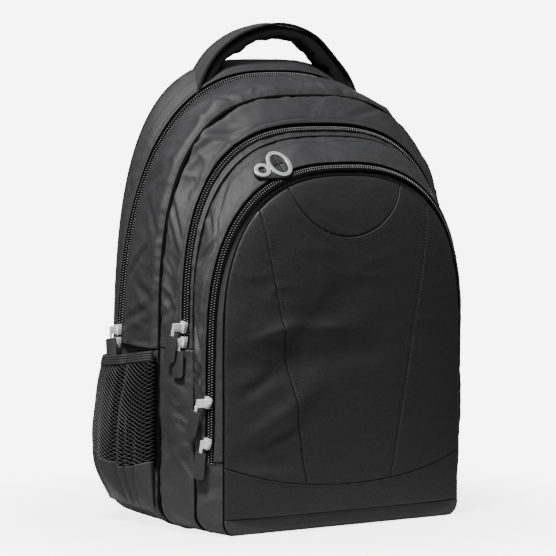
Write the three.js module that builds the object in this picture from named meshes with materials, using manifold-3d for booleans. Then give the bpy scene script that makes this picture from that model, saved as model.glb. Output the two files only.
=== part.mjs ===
// A laptop backpack standing on its base: three zipped chambers, a mesh bottle pocket on each side,
// a grab handle, a cable port and two padded shoulder straps.
// Millimetres, +Z up. The front faces -Y and the straps hang behind, at +Y.
import * as THREE from "three";
import { mergeVertices } from "three/addons/utils/BufferGeometryUtils.js";
import Module from "manifold-3d";

const wasm = await Module();
wasm.setup();

// Driving sizes of the bag
const BAG_HEIGHT = 474; // floor to the top of the back panel
const BAG_WIDTH = 340; // across the seam between the laptop and main chambers
const BAG_DEPTH = 198; // back panel's edge to the front panel's edge
const CLOTH = 2; // wall of coated fabric with its backing
const SEAM = 0.5; // space between two sewn pieces
const PAD_EDGE = 5; // padded back panel's thickness at its edge
const PAD_BULGE = 6; // and how much thicker it is in the middle
const PARTITION = 1.5; // wall between two chambers
const FRONT_CROWN = 12; // how far the stuffed front panel stands proud of its edge
const SPARE = 10; // how far a cutting solid reaches past what it cuts

// Zips
const ZIP_WIDTH = 9; // from one fabric edge to the other
const COIL_WIDTH = 5;
const COIL_RISE = 1.2;
const TAPE_SINK = 0.8; // the tape lies this much below the fabric beside it
const LAPTOP_ZIP_END = 182; // height at which each zip stops on the bag's sides
const MAIN_ZIP_END = 185;
const FRONT_ZIP_END = 74;
const LAPTOP_BULGE = 6; // how far each band of fabric swells between its seams
const MAIN_BULGE = 5;
const ORGANISER_BULGE = 4;
const REAR_BULGE = 2;
const LAPTOP_SIDE_BULGE = 3; // and the bands below the zips' ends
const ORGANISER_SIDE_BULGE = 2;

// Front panel seams
const BASE_STRIP = 17; // the base turns up this far at the front
const BASE_REAR = 22; // and this far at the back
const HEEL = 8; // rounding of the base's rear and front edges
const TOE = 6;
const BOOT_HEIGHT = 45; // lowest point of the seam over the lower front band
const BOOT_RISE = 24; // and how much higher that seam is at the edges
const BOOT_CURVE = 2.2;
const YOKE_RADIUS = 71; // round seam at the top of the front
const YOKE_ABOVE = 10; // that circle's centre above the front panel's top
const TAPER_FOOT = 50.5; // half of the middle panel's width at its foot
const TAPER_SLOPE = 0.186; // how fast it widens upwards

// Bottle pockets
const POCKET_TOP = 181;
const POCKET_FOOT = 20;
const HEM_HEIGHT = 11;
const HEM_THICK = 3;
const POCKET_BULGE = 28;
const POCKET_SAG = 11; // how much lower the hem hangs at the back than at the front
const POCKET_FOLD = 6; // depth of the upright fold between the net's two lobes
const POCKET_FRONT = 3; // from the chamber seam to the pocket's edge
const POCKET_REAR = 9; // from the back panel's edge to the pocket's edge
const POCKET_STAND = 1.7; // from the side's cloth to the pocket's edges
const POCKET_EASE = 3; // and how much more between them
const NET_LOW = 62; // lower edge of the net at the middle of the pocket
const NET_LOW_REAR = 26; // and how much higher it is at the rear edge

// Handle, straps and their hardware
const HANDLE_WIDTH = 26;
const HANDLE_PAD = 15; // thickness of the soft grip under the webbing
const HANDLE_RISE = 36; // above the top of the bag
const HANDLE_DEPTH = 52.5; // from the back edge to the handle's middle line
const HANDLE_HEM = 1; // webbing showing on each side of the grip
const PAD_ROUND = 3; // blunt edge of the padded straps
const STRAP_WIDTH = 62;
const STRAP_THICK = 12;
const STRAP_REACH = 42; // how far the straps hang behind the back edge
const WEBBING_WIDTH = 25;
const WEBBING = 1.6;
const ADJUSTER_WIDTH = 34;
const ADJUSTER_THICK = 4.4;
const ADJUSTER_BAR = 4; // each of its three cross bars
const ADJUSTER_SLOT_TOP = 5; // slot for the loop that holds it to the strap
const ADJUSTER_SLOT_LOW = 6.6; // slot for the webbing
const ANCHOR_INSET = 32; // strap's lower end, from the back panel's side edge
const ANCHOR_HEIGHT = 62;
const ANCHOR_TAB = 34; // height of the fabric tab there
const ANCHOR_HEM = 3; // tab showing on each side of the webbing
const ANCHOR_POINT = 6; // rise of its slanting lower edge
const WEB_SLACK = 3; // how far the webbing below the adjuster bows outwards
const TAIL_LENGTH = 70; // webbing left over below the adjuster
const TAIL_SPREAD = 4; // how far its end hangs outwards, and behind

// Sliders, pulls and cable port
const SLIDER_LENGTH = 11;
const SLIDER_WIDTH = 8.5;
const SLIDER_THICK = 4;
const EYE = 5; // length of the metal eye below a slider
const EYE_ROOT = 2; // how deep it's rooted in the slider
const SLIDER_LIFT = 3.1; // its middle above the line of the zip
const LINK_WIDTH = 3.2;
const LINK_THICK = 1;
const LINK_DEEP = 4; // how far the link goes into the rubber pull
const PULL_WIDTH = 12;
const PULL_LENGTH = 27;
const PULL_THICK = 2.6;
const PULL_DEPTH = 5.2; // a pull's middle above its slider's middle
const PULL_RAISE = 3.5; // how much higher the upper slider's pull hangs
const PULL_TURN = 28; // turn of a pull and its link towards the front, in degrees
const PULL_CORNER = 2.5; // corner at its foot
const PULL_BEVEL = 1; // and at its top
const PORT_OVAL = [8, 12.4]; // half sizes of the large eye, along and across the band
const PORT_EYE = 4.6; // radius of the small one
const PORT_SPACING = 20; // between the two
const PORT_THICK = 2.4;
const PORT_LIFT = 1.6; // under its middle, so that its flat back clears the curved band
const PORT_SLIT = 0.8; // width of the crossed slits in the rubber
const PORT_TURN = 0.03; // how far it's turned out of the band's line
const PORT_ACROSS = 0.78; // place on the band, from its rear seam to its zip
const PORT_ALONG = 0.402; // and along the band, from its left foot over the top
const RING_WIDTH = 4; // silver rings round the eyes
const RING_RISE = 1;
const PATCH_HEM = 1; // rubber showing round the rings
const DIMPLE_HEM = 1; // and inside the small one
const SLIT_END = 2; // rubber left at each end of a slit

// The seams that run up one side, over the top and down the other, from the back to the front.
// low and top are distances in front of the back edge at the foot and at the apex, as shares of BAG_DEPTH.
// half: half width, as a share of BAG_WIDTH. apex: height of the top, as a share of BAG_HEIGHT.
// round: exponent of the rounding over the top, 2 for an ellipse and more for a squarer one.
// foot, lift: width and height of the rounding at the floor, as shares of BAG_WIDTH and BAG_HEIGHT.
const SEAMS = {
  back: { low: 0.0, top: 0.172, half: 0.471, apex: 1.0, round: 3.15, foot: 0.13, lift: 0.065 },
  laptopZip: { low: 0.132, top: 0.369, half: 0.488, apex: 0.964, round: 2.65, foot: 0.13, lift: 0.064 },
  chamber: { low: 0.586, top: 0.636, half: 0.5, apex: 0.919, round: 3.0, foot: 0.13, lift: 0.06 },
  mainZip: { low: 0.803, top: 0.763, half: 0.476, apex: 0.848, round: 2.8, foot: 0.1, lift: 0.05 },
  main: { low: 0.85, top: 0.805, half: 0.468, apex: 0.832, round: 2.75, foot: 0.09, lift: 0.045 },
  frontZip: { low: 0.932, top: 0.985, half: 0.446, apex: 0.768, round: 2.55, foot: 0.05, lift: 0.03 },
  front: { low: 1.0, top: 1.0, half: 0.421, apex: 0.749, round: 2.55, foot: 0.045, lift: 0.03 },
};
const SHOULDER = 0.4; // where the rounding over the top starts, as a share of BAG_HEIGHT

// Soft folds and dents pressed into the fabric bands. along runs from the left foot over the top to the
// right foot, across from the rear seam to the front one, both 0 to 1, and so do the spans.
// depth is a share of FOLD_DEPTH, inwards.
const FOLD_DEPTH = 6;
const FOLDS = {
  laptop: [
    { along: 0.1, across: 0.75, spanAlong: 0.05, spanAcross: 0.3, depth: 0.9 },
    { along: 0.2, across: 0.45, spanAlong: 0.04, spanAcross: 0.35, depth: 0.7 },
    { along: 0.31, across: 0.8, spanAlong: 0.03, spanAcross: 0.3, depth: 0.8 },
    { along: 0.45, across: 0.85, spanAlong: 0.03, spanAcross: 0.3, depth: 0.6 },
    { along: 0.58, across: 0.85, spanAlong: 0.03, spanAcross: 0.3, depth: 0.9 },
    { along: 0.78, across: 0.5, spanAlong: 0.05, spanAcross: 0.4, depth: 0.7 },
  ],
  main: [
    { along: 0.14, across: 0.5, spanAlong: 0.04, spanAcross: 0.4, depth: 0.6 },
    { along: 0.27, across: 0.45, spanAlong: 0.035, spanAcross: 0.4, depth: 0.9 },
    { along: 0.37, across: 0.6, spanAlong: 0.03, spanAcross: 0.4, depth: 0.6 },
    { along: 0.64, across: 0.5, spanAlong: 0.05, spanAcross: 0.4, depth: 0.6 },
    { along: 0.86, across: 0.5, spanAlong: 0.05, spanAcross: 0.4, depth: 0.7 },
  ],
  organiser: [
    { along: 0.22, across: 0.5, spanAlong: 0.05, spanAcross: 0.5, depth: 0.5 },
    { along: 0.43, across: 0.45, spanAlong: 0.04, spanAcross: 0.5, depth: 0.5 },
    { along: 0.68, across: 0.5, spanAlong: 0.05, spanAcross: 0.5, depth: 0.5 },
  ],
};

// Dents in the stuffed front panel: place and span as shares of its half width and height, depth inwards.
const FRONT_DENTS = [
  { x: -0.55, z: 0.48, spanX: 0.3, spanZ: 0.05, depth: 0.5 },
  { x: 0.1, z: 0.5, spanX: 0.5, spanZ: 0.04, depth: 0.35 },
  { x: -0.6, z: 0.2, spanX: 0.25, spanZ: 0.05, depth: 0.5 },
];

// The handle's upper face from its left foot to its right one: across as shares of BAG_WIDTH,
// rise above the top of the bag as shares of HANDLE_RISE.
const HANDLE_PATH = [
  { across: -0.275, rise: -1.15 },
  { across: -0.237, rise: -0.37 },
  { across: -0.189, rise: 0.19 },
  { across: -0.117, rise: 0.64 },
  { across: -0.045, rise: 0.87 },
  { across: 0.028, rise: 0.97 },
  { across: 0.1, rise: 0.86 },
  { across: 0.165, rise: 0.58 },
  { across: 0.222, rise: 0.08 },
  { across: 0.279, rise: -0.51 },
  { across: 0.309, rise: -1.04 },
  { across: 0.322, rise: -1.55 },
];

// The right shoulder strap's middle line and width, from its seam at the top of the back to its tail.
// across and width: shares of BAG_WIDTH and STRAP_WIDTH. behind: distance behind the back edge, as a
// share of STRAP_REACH. height: share of BAG_HEIGHT.
const STRAP_PATH = [
  { across: 0.135, behind: -0.19, height: 0.8, width: 0.74 },
  { across: 0.137, behind: -0.26, height: 0.856, width: 0.76 },
  { across: 0.143, behind: -0.13, height: 0.9, width: 0.8 },
  { across: 0.156, behind: 0.24, height: 0.905, width: 0.86 },
  { across: 0.174, behind: 0.58, height: 0.865, width: 0.94 },
  { across: 0.2, behind: 0.84, height: 0.79, width: 1.0 },
  { across: 0.232, behind: 0.98, height: 0.69, width: 1.0 },
  { across: 0.262, behind: 1.0, height: 0.58, width: 0.92 },
  { across: 0.288, behind: 0.9, height: 0.47, width: 0.76 },
  { across: 0.304, behind: 0.74, height: 0.37, width: 0.55 },
];

// Two sliders on each zip, all on the left side. above: height over the zip's lower end, as a share of
// SLIDER_LENGTH. lean: turn of the slider and its pull out of the zip's line, in radians. raise: how much
// higher the pull hangs, to lie over the other, as a share of PULL_RAISE.
const SLIDERS = [
  { zip: "laptop", name: "upper", above: 1.25, lean: 0.25, raise: 1 },
  { zip: "laptop", name: "lower", above: 0.09, lean: 0.1, raise: 0 },
  { zip: "main", name: "upper", above: 1.97, lean: -0.21, raise: 1.9 },
  { zip: "main", name: "lower", above: 0.63, lean: -0.05, raise: 0 },
  { zip: "front", name: "upper", above: 5.42, lean: -0.32, raise: 2 },
  { zip: "front", name: "lower", above: 1.72, lean: -0.12, raise: 0.5 },
];

// How finely the shapes are cut into faces
const SHOULDER_STEPS = 10;
const SIDE_STEPS = 2;
const FOOT_STEPS = 3;
const FADE_HEIGHT = 60; // the side bands bulge fully above this

const LEFT = -1;
const RIGHT = 1;

const CLOTH_MATERIAL = fabric("shell_cloth", 0x3c3c3e, 0.72);
const FRONT_MATERIAL = fabric("front_cloth", 0x2b2b2d, 0.75);
const NET_MATERIAL = fabric("net", 0x1d1d1f, 0.85);
const TAPE_MATERIAL = fabric("zip_tape", 0x1b1b1c, 0.8);
const WEB_MATERIAL = fabric("webbing", 0x242426, 0.85);
const PAD_MATERIAL = fabric("air_mesh", 0x1f1f21, 0.95);
const RUBBER_MATERIAL = fabric("rubber", 0x2e2e30, 0.6);
const PLASTIC_MATERIAL = fabric("plastic", 0x202022, 0.45);
const SILVER_MATERIAL = new THREE.MeshStandardMaterial({
  name: "silver_trim",
  color: 0xc4c6c8,
  roughness: 0.35,
  metalness: 0.4,
});
const METAL_MATERIAL = new THREE.MeshStandardMaterial({
  name: "nickel",
  color: 0xd6d6d4,
  roughness: 0.25,
  metalness: 1,
});

function fabric(name, color, roughness) {
  return new THREE.MeshStandardMaterial({ name, color, roughness, metalness: 0 });
}

// Seam curves

function sizesOf(seam) {
  return {
    low: -seam.low * BAG_DEPTH,
    top: -seam.top * BAG_DEPTH,
    half: seam.half * BAG_WIDTH,
    apex: seam.apex * BAG_HEIGHT,
    shoulder: SHOULDER * BAG_HEIGHT,
    round: seam.round,
    foot: seam.foot * BAG_WIDTH,
    lift: seam.lift * BAG_HEIGHT,
  };
}

// Where a seam lies from back to front at a height: its upper part leans.
function depthAt(s, z) {
  const rise = THREE.MathUtils.clamp(z / s.apex, 0, 1);
  return s.low + (s.top - s.low) * rise * rise;
}

// Half of the arch, on the right, from height zFrom to the apex, as [x, z] pairs.
function shoulderHalf(s, zFrom) {
  const rise = Math.max(zFrom - s.shoulder, 0) / (s.apex - s.shoulder);
  const start = Math.asin(rise ** (s.round / 2));
  const straight = zFrom < s.shoulder ? SIDE_STEPS : 0;
  const points = [];
  for (let i = 0; i < straight; i++) {
    points.push([s.half, THREE.MathUtils.lerp(zFrom, s.shoulder, i / straight)]);
  }
  for (let i = 0; i <= SHOULDER_STEPS; i++) {
    const angle = THREE.MathUtils.lerp(start, Math.PI / 2, i / SHOULDER_STEPS);
    points.push([
      s.half * Math.max(Math.cos(angle), 0) ** (2 / s.round),
      s.shoulder + (s.apex - s.shoulder) * Math.sin(angle) ** (2 / s.round),
    ]);
  }
  return points;
}

// The rounded foot and the side above it, on the right, up to height zTo.
function footHalf(s, zTo, sideSteps) {
  const points = [];
  for (let i = 0; i < FOOT_STEPS; i++) {
    const angle = ((i / FOOT_STEPS) * Math.PI) / 2;
    points.push([s.half - s.foot * (1 - Math.sin(angle)), s.lift * (1 - Math.cos(angle))]);
  }
  for (let i = 0; i <= sideSteps; i++) {
    const z = THREE.MathUtils.lerp(s.lift, zTo, i / sideSteps);
    points.push([halfWidthAt(s, z), z]);
  }
  return points;
}

// A line of points with their outward directions in the seam's plane.
function lineThrough(s, flat) {
  return flat.map(([x, z], i) => {
    const [ax, az] = flat[Math.max(i - 1, 0)];
    const [bx, bz] = flat[Math.min(i + 1, flat.length - 1)];
    const out = new THREE.Vector3(az - bz, 0, bx - ax).normalize();
    return { at: new THREE.Vector3(x, depthAt(s, z), z), out };
  });
}

// The arch over the bag from zFrom on the left to zFrom on the right.
function archLine(s, zFrom) {
  const right = shoulderHalf(s, zFrom);
  const left = right.map(([x, z]) => [-x, z]);
  return lineThrough(s, [...left, ...right.slice(0, -1).reverse()]);
}

// One side's line from the floor up to zTo.
function sideLine(s, zTo, side, sideSteps = 4) {
  const flat = footHalf(s, zTo, sideSteps).map(([x, z]) => [side * x, z]);
  return lineThrough(s, side === LEFT ? flat : flat.reverse());
}

function shifted(line, toward, distance) {
  return line.map((p, i) => {
    const way = toward[i].at.clone().sub(p.at).normalize();
    return { at: p.at.clone().addScaledVector(way, distance), out: p.out };
  });
}

function raised(line, distance) {
  return line.map((p) => ({ at: p.at.clone().addScaledVector(p.out, distance), out: p.out }));
}

function mixed(a, b, share) {
  return a.map((p, i) => ({
    at: p.at.clone().lerp(b[i].at, share),
    out: p.out.clone().lerp(b[i].out, share).normalize(),
  }));
}

// Closed walls

// A closed solid between two grids of points, the first of them outermost.
function wallBetween(outer, inner) {
  const rows = outer.length;
  const columns = outer[0].length;
  const positions = [];
  for (const p of [...outer, ...inner].flat()) positions.push(...p.toArray());
  const index = [];
  const id = (face, i, j) => (face * rows + i) * columns + j;
  const quad = (a, b, c, d) => index.push(a, b, c, a, c, d);
  for (let i = 0; i + 1 < rows; i++) {
    for (let j = 0; j + 1 < columns; j++) {
      quad(id(0, i, j), id(0, i + 1, j), id(0, i + 1, j + 1), id(0, i, j + 1));
      quad(id(1, i, j), id(1, i, j + 1), id(1, i + 1, j + 1), id(1, i + 1, j));
    }
  }
  for (let i = 0; i + 1 < rows; i++) {
    quad(id(0, i, 0), id(1, i, 0), id(1, i + 1, 0), id(0, i + 1, 0));
    quad(id(0, i, columns - 1), id(0, i + 1, columns - 1), id(1, i + 1, columns - 1), id(1, i, columns - 1));
  }
  for (let j = 0; j + 1 < columns; j++) {
    quad(id(0, 0, j), id(0, 0, j + 1), id(1, 0, j + 1), id(1, 0, j));
    quad(id(0, rows - 1, j), id(1, rows - 1, j), id(1, rows - 1, j + 1), id(0, rows - 1, j + 1));
  }
  const geometry = new THREE.BufferGeometry();
  geometry.setAttribute("position", new THREE.Float32BufferAttribute(positions, 3));
  geometry.setIndex(index);
  return facingOut(geometry);
}

// Turns a closed mesh's faces round if its volume comes out negative.
function facingOut(geometry) {
  const p = geometry.getAttribute("position");
  const index = geometry.getIndex().array;
  const [a, b, c] = [new THREE.Vector3(), new THREE.Vector3(), new THREE.Vector3()];
  let volume = 0;
  for (let i = 0; i < index.length; i += 3) {
    a.fromBufferAttribute(p, index[i]);
    b.fromBufferAttribute(p, index[i + 1]);
    c.fromBufferAttribute(p, index[i + 2]);
    volume += a.dot(b.cross(c));
  }
  if (volume < 0) geometry.setIndex(Array.from(index).reverse());
  return geometry;
}

function foldAt(folds, along, across) {
  return folds.reduce((sum, f) => {
    const a = (along - f.along) / f.spanAlong;
    const b = (across - f.across) / f.spanAcross;
    return sum + f.depth * FOLD_DEPTH * Math.exp(-a * a - b * b);
  }, 0);
}

// The outer and inner faces of a fabric wall from one line to another, bulging between them.
// On a side it's flat at the floor.
function bandGrid(from, to, { steps, bulge = 0, folds = [], side = false }) {
  const a = shifted(from, to, SEAM / 2);
  const b = shifted(to, from, SEAM / 2);
  const outer = [];
  const inner = [];
  for (let i = 0; i <= steps; i++) {
    const across = i / steps;
    const swell = Math.sin(Math.PI * across);
    const line = mixed(a, b, across);
    const last = line.length - 1;
    const lifted = line.map((p, j) => {
      const along = j / last;
      const fade = side ? Math.min(1, p.at.z / FADE_HEIGHT) : 1;
      const lift = swell * fade * (bulge - foldAt(folds, along, across));
      return p.at.clone().addScaledVector(p.out, lift);
    });
    outer.push(lifted);
    inner.push(lifted.map((p, j) => p.clone().addScaledVector(line[j].out, -CLOTH)));
  }
  return { outer, inner };
}

function band(from, to, look) {
  const { outer, inner } = bandGrid(from, to, look);
  return wallBetween(outer, inner);
}

// A zip: its tape, with the coil raised along the middle. rear and front are the fabric edges beside it.
function zipBand(rear, middle, front) {
  const tape = (line) => raised(line, -TAPE_SINK);
  const lines = [
    tape(shifted(rear, middle, SEAM / 2)),
    tape(shifted(middle, rear, COIL_WIDTH / 2)),
    raised(middle, COIL_RISE - TAPE_SINK),
    tape(shifted(middle, front, COIL_WIDTH / 2)),
    tape(shifted(front, middle, SEAM / 2)),
  ];
  const outer = lines.map((line) => line.map((p) => p.at));
  const inner = lines.map((line) => raised(line, -CLOTH / 2).map((p) => p.at));
  return wallBetween(outer, inner);
}

// Solids for joins and cuts

function toSolid(geometry) {
  const bare = geometry.index ? geometry.toNonIndexed() : geometry.clone();
  bare.deleteAttribute("normal");
  bare.deleteAttribute("uv");
  const merged = mergeVertices(bare, 1e-4);
  return new wasm.Manifold(
    new wasm.Mesh({
      numProp: 3,
      vertProperties: merged.getAttribute("position").array,
      triVerts: new Uint32Array(merged.getIndex().array),
    }),
  );
}

function toGeometry(solid) {
  const made = solid.getMesh();
  const positions = [];
  for (let i = 0; i < made.numVert; i++) {
    positions.push(...made.vertProperties.subarray(i * made.numProp, i * made.numProp + 3));
  }
  const geometry = new THREE.BufferGeometry();
  geometry.setAttribute("position", new THREE.Float32BufferAttribute(positions, 3));
  geometry.setIndex(Array.from(made.triVerts));
  return geometry;
}

// An outline of [x, z] pairs pushed along Y from yFrom to yTo.
function prismAlongY(outline, yFrom, yTo) {
  const shape = new THREE.Shape(outline.map(([x, z]) => new THREE.Vector2(x, z)));
  const geometry = new THREE.ExtrudeGeometry(shape, { depth: yTo - yFrom, bevelEnabled: false });
  geometry.rotateX(Math.PI / 2); // (x, y, z) becomes (x, -z, y)
  geometry.translate(0, yTo, 0);
  return toSolid(geometry);
}

// An outline of [y, z] pairs pushed along X to both sides.
function prismAlongX(outline, half) {
  const shape = new THREE.Shape(outline.map(([y, z]) => new THREE.Vector2(y, z)));
  const geometry = new THREE.ExtrudeGeometry(shape, { depth: 2 * half, bevelEnabled: false });
  geometry.rotateX(Math.PI / 2); // first stands the outline up: (y, z) in X and Z
  geometry.rotateZ(Math.PI / 2); // then turns it into Y and Z
  geometry.translate(-half, 0, 0);
  return toSolid(geometry);
}

// An outline of [x, y] pairs pushed up from zFrom to zTo.
function prismAlongZ(outline, zFrom, zTo) {
  const shape = new THREE.Shape(outline.map(([x, y]) => new THREE.Vector2(x, y)));
  const geometry = new THREE.ExtrudeGeometry(shape, { depth: zTo - zFrom, bevelEnabled: false });
  geometry.translate(0, 0, zFrom);
  return toSolid(geometry);
}

// The area inside a seam, inset from it, as an outline of [x, z] pairs from height zFrom up.
function insideSeam(s, inset, zFrom) {
  const right = [...footHalf(s, s.shoulder, 3), ...shoulderHalf(s, s.shoulder).slice(1)];
  const left = right.map(([x, z]) => [-x, z]);
  const line = lineThrough(s, [...left, ...right.slice(0, -1).reverse()]);
  const moved = raised(line, -inset).map((p) => [p.at.x, p.at.z]);
  const kept = moved.filter(([, z]) => z > zFrom);
  const below = moved[moved.indexOf(kept[0]) - 1] ?? kept[0];
  const share = (zFrom - below[1]) / (kept[0][1] - below[1] || 1);
  const half = Math.abs(THREE.MathUtils.lerp(below[0], kept[0][0], Math.max(share, 0)));
  return [[-half, zFrom], ...kept, [half, zFrom]];
}

function halfWidthAt(s, z) {
  if (z < s.lift) return s.half - s.foot * (1 - Math.sqrt(1 - (1 - Math.max(z, 0) / s.lift) ** 2));
  if (z < s.shoulder) return s.half;
  const rise = Math.min((z - s.shoulder) / (s.apex - s.shoulder), 1);
  return s.half * (1 - rise ** s.round) ** (1 / s.round);
}

// A sheet whose depth is a function of x and z, over a rectangle that is cut to an outline afterwards.
function sheetOver(xHalf, zFrom, zTo, columns, rows, frontOf, backOf) {
  const front = [];
  const back = [];
  for (let i = 0; i <= rows; i++) {
    const z = THREE.MathUtils.lerp(zFrom, zTo, i / rows);
    const xs = Array.from({ length: columns + 1 }, (_, j) => xHalf * (-1 + (2 * j) / columns));
    front.push(xs.map((x) => new THREE.Vector3(x, frontOf(x, z), z)));
    back.push(xs.map((x) => new THREE.Vector3(x, backOf(x, z), z)));
  }
  return toSolid(wallBetween(front, back));
}

const seam = Object.fromEntries(Object.entries(SEAMS).map(([name, row]) => [name, sizesOf(row)]));
const bag = new THREE.Group();

function add(name, geometry, material, parent = bag) {
  const mesh = new THREE.Mesh(geometry, material);
  mesh.name = name;
  parent.add(mesh);
  return mesh;
}

// Chamber walls: the fabric bands and the zips between them

function movedBack(line, distance) {
  return line.map((p) => ({ at: p.at.clone().setY(p.at.y + distance), out: p.out }));
}

// The seam over the top and the seam up one side, for every joint between two bands.
// The rear bands end against the padded panel's inner face, the front ones behind the front panel.
const JOINTS = {
  back: (lineOf) => movedBack(lineOf(seam.back), -PAD_EDGE - SEAM / 2),
  chamber: (lineOf) => lineOf(seam.chamber),
  main: (lineOf) => lineOf(seam.main),
  front: (lineOf) => movedBack(lineOf(seam.front), CLOTH + SEAM / 2),
};

const overTop = (zFrom) => (s) => archLine(s, zFrom);
const upSide = (side, zTo) => (s) => sideLine(s, zTo - SEAM, side);

// The lines of a zip that follows a seam: its middle and the fabric edges on both sides of it.
function zipLines(rear, middle, front) {
  return {
    middle,
    rear: shifted(middle, rear, ZIP_WIDTH / 2),
    front: shifted(middle, front, ZIP_WIDTH / 2),
  };
}

function addSides(name, rear, front, zTo, look) {
  for (const [side, word] of [[LEFT, "left"], [RIGHT, "right"]]) {
    const lineOf = upSide(side, zTo);
    add(`${name}_${word}`, band(rear(lineOf), front(lineOf), { ...look, side: true }), CLOTH_MATERIAL);
  }
}

function addLaptopChamber() {
  const lineOf = overTop(LAPTOP_ZIP_END);
  const [back, chamber] = [JOINTS.back(lineOf), JOINTS.chamber(lineOf)];
  const zip = zipLines(back, lineOf(seam.laptopZip), chamber);
  add("rear_gusset", band(back, zip.rear, { steps: 3, bulge: REAR_BULGE }), CLOTH_MATERIAL);
  add("laptop_zip", zipBand(zip.rear, zip.middle, zip.front), TAPE_MATERIAL);
  const look = { steps: 5, bulge: LAPTOP_BULGE, folds: FOLDS.laptop };
  add("laptop_gusset", band(zip.front, chamber, look), CLOTH_MATERIAL);
  const sideLook = { steps: 5, bulge: LAPTOP_SIDE_BULGE };
  addSides("laptop_side", JOINTS.back, JOINTS.chamber, LAPTOP_ZIP_END, sideLook);
}

function addMainChamber() {
  const lineOf = overTop(MAIN_ZIP_END);
  const [chamber, main] = [JOINTS.chamber(lineOf), JOINTS.main(lineOf)];
  const zip = zipLines(chamber, lineOf(seam.mainZip), main);
  const look = { steps: 4, bulge: MAIN_BULGE, folds: FOLDS.main };
  add("main_gusset", band(chamber, zip.rear, look), CLOTH_MATERIAL);
  add("main_zip", zipBand(zip.rear, zip.middle, zip.front), TAPE_MATERIAL);
  add("main_edge_strip", band(zip.front, main, { steps: 1 }), CLOTH_MATERIAL);
  addSides("main_side", JOINTS.chamber, JOINTS.main, MAIN_ZIP_END, { steps: 4, bulge: MAIN_BULGE });
}

// The strip of the top that the handle and everything else keeps clear of, as a solid.
function gussetBlock(clear) {
  const lineOf = overTop(LAPTOP_ZIP_END);
  const rear = JOINTS.back(lineOf);
  const zip = zipLines(rear, lineOf(seam.laptopZip), JOINTS.chamber(lineOf));
  const over = [movedBack(rear, PAD_EDGE), rear, mixed(rear, zip.front, 0.33), zip.front];
  const grid = (lift) => over.map((line) => raised(line, lift).map((p) => p.at));
  return toSolid(wallBetween(grid(clear), grid(-4 * HANDLE_PAD)));
}

function organiserBand() {
  const lineOf = overTop(FRONT_ZIP_END);
  const [main, front] = [JOINTS.main(lineOf), JOINTS.front(lineOf)];
  const zip = zipLines(main, lineOf(seam.frontZip), front);
  return { main, front, zip, look: { steps: 4, bulge: ORGANISER_BULGE, folds: FOLDS.organiser } };
}

function addOrganiser() {
  const { main, front, zip, look } = organiserBand();
  add("organiser_gusset", organiserWithHole(band(main, zip.rear, look)), CLOTH_MATERIAL);
  add("front_zip", zipBand(zip.rear, zip.middle, zip.front), TAPE_MATERIAL);
  add("front_edge_strip", band(zip.front, front, { steps: 1 }), CLOTH_MATERIAL);
  const sideLook = { steps: 4, bulge: ORGANISER_SIDE_BULGE };
  addSides("organiser_side", JOINTS.main, JOINTS.front, FRONT_ZIP_END, sideLook);
}

// The walls between the chambers, hung inside the seams.
function addPartitions() {
  for (const [name, s] of [["laptop_partition", seam.chamber], ["main_partition", seam.main]]) {
    const depth = (x, z) => depthAt(s, z);
    const sheet = sheetOver(s.half, 0, s.apex, 2, 6, depth, (x, z) => depth(x, z) + PARTITION);
    const outline = insideSeam(s, CLOTH + 2 * SEAM, CLOTH + 2 * SEAM);
    add(name, toGeometry(sheet.intersect(prismAlongY(outline, -2 * BAG_DEPTH, BAG_DEPTH))), CLOTH_MATERIAL);
  }
}

// The padded back, the base and the front

// 1 in the middle of the area inside a seam, falling to 0 at its edge.
function fullness(s, x, z, zFrom, power) {
  const across = Math.min(Math.abs(x) / Math.max(halfWidthAt(s, z), 1), 1);
  const middle = (s.apex + zFrom) / 2;
  const up = Math.min(Math.abs(z - middle) / (s.apex - middle), 1);
  return (1 - across ** power) * (1 - up ** (power + 2));
}

function addBackPanel() {
  const s = seam.back;
  const foot = BASE_REAR + SEAM;
  const inner = (x, z) => depthAt(s, z) - PAD_EDGE;
  const outer = (x, z) => depthAt(s, z) + PAD_BULGE * fullness(s, x, z, foot, 4);
  const sheet = sheetOver(s.half + SEAM, foot - SEAM, s.apex + SEAM, 8, 10, inner, outer);
  const outline = insideSeam(s, SEAM, foot);
  add("back_panel", toGeometry(sheet.intersect(prismAlongY(outline, -BAG_DEPTH, BAG_DEPTH))), PAD_MATERIAL);
}

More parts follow.
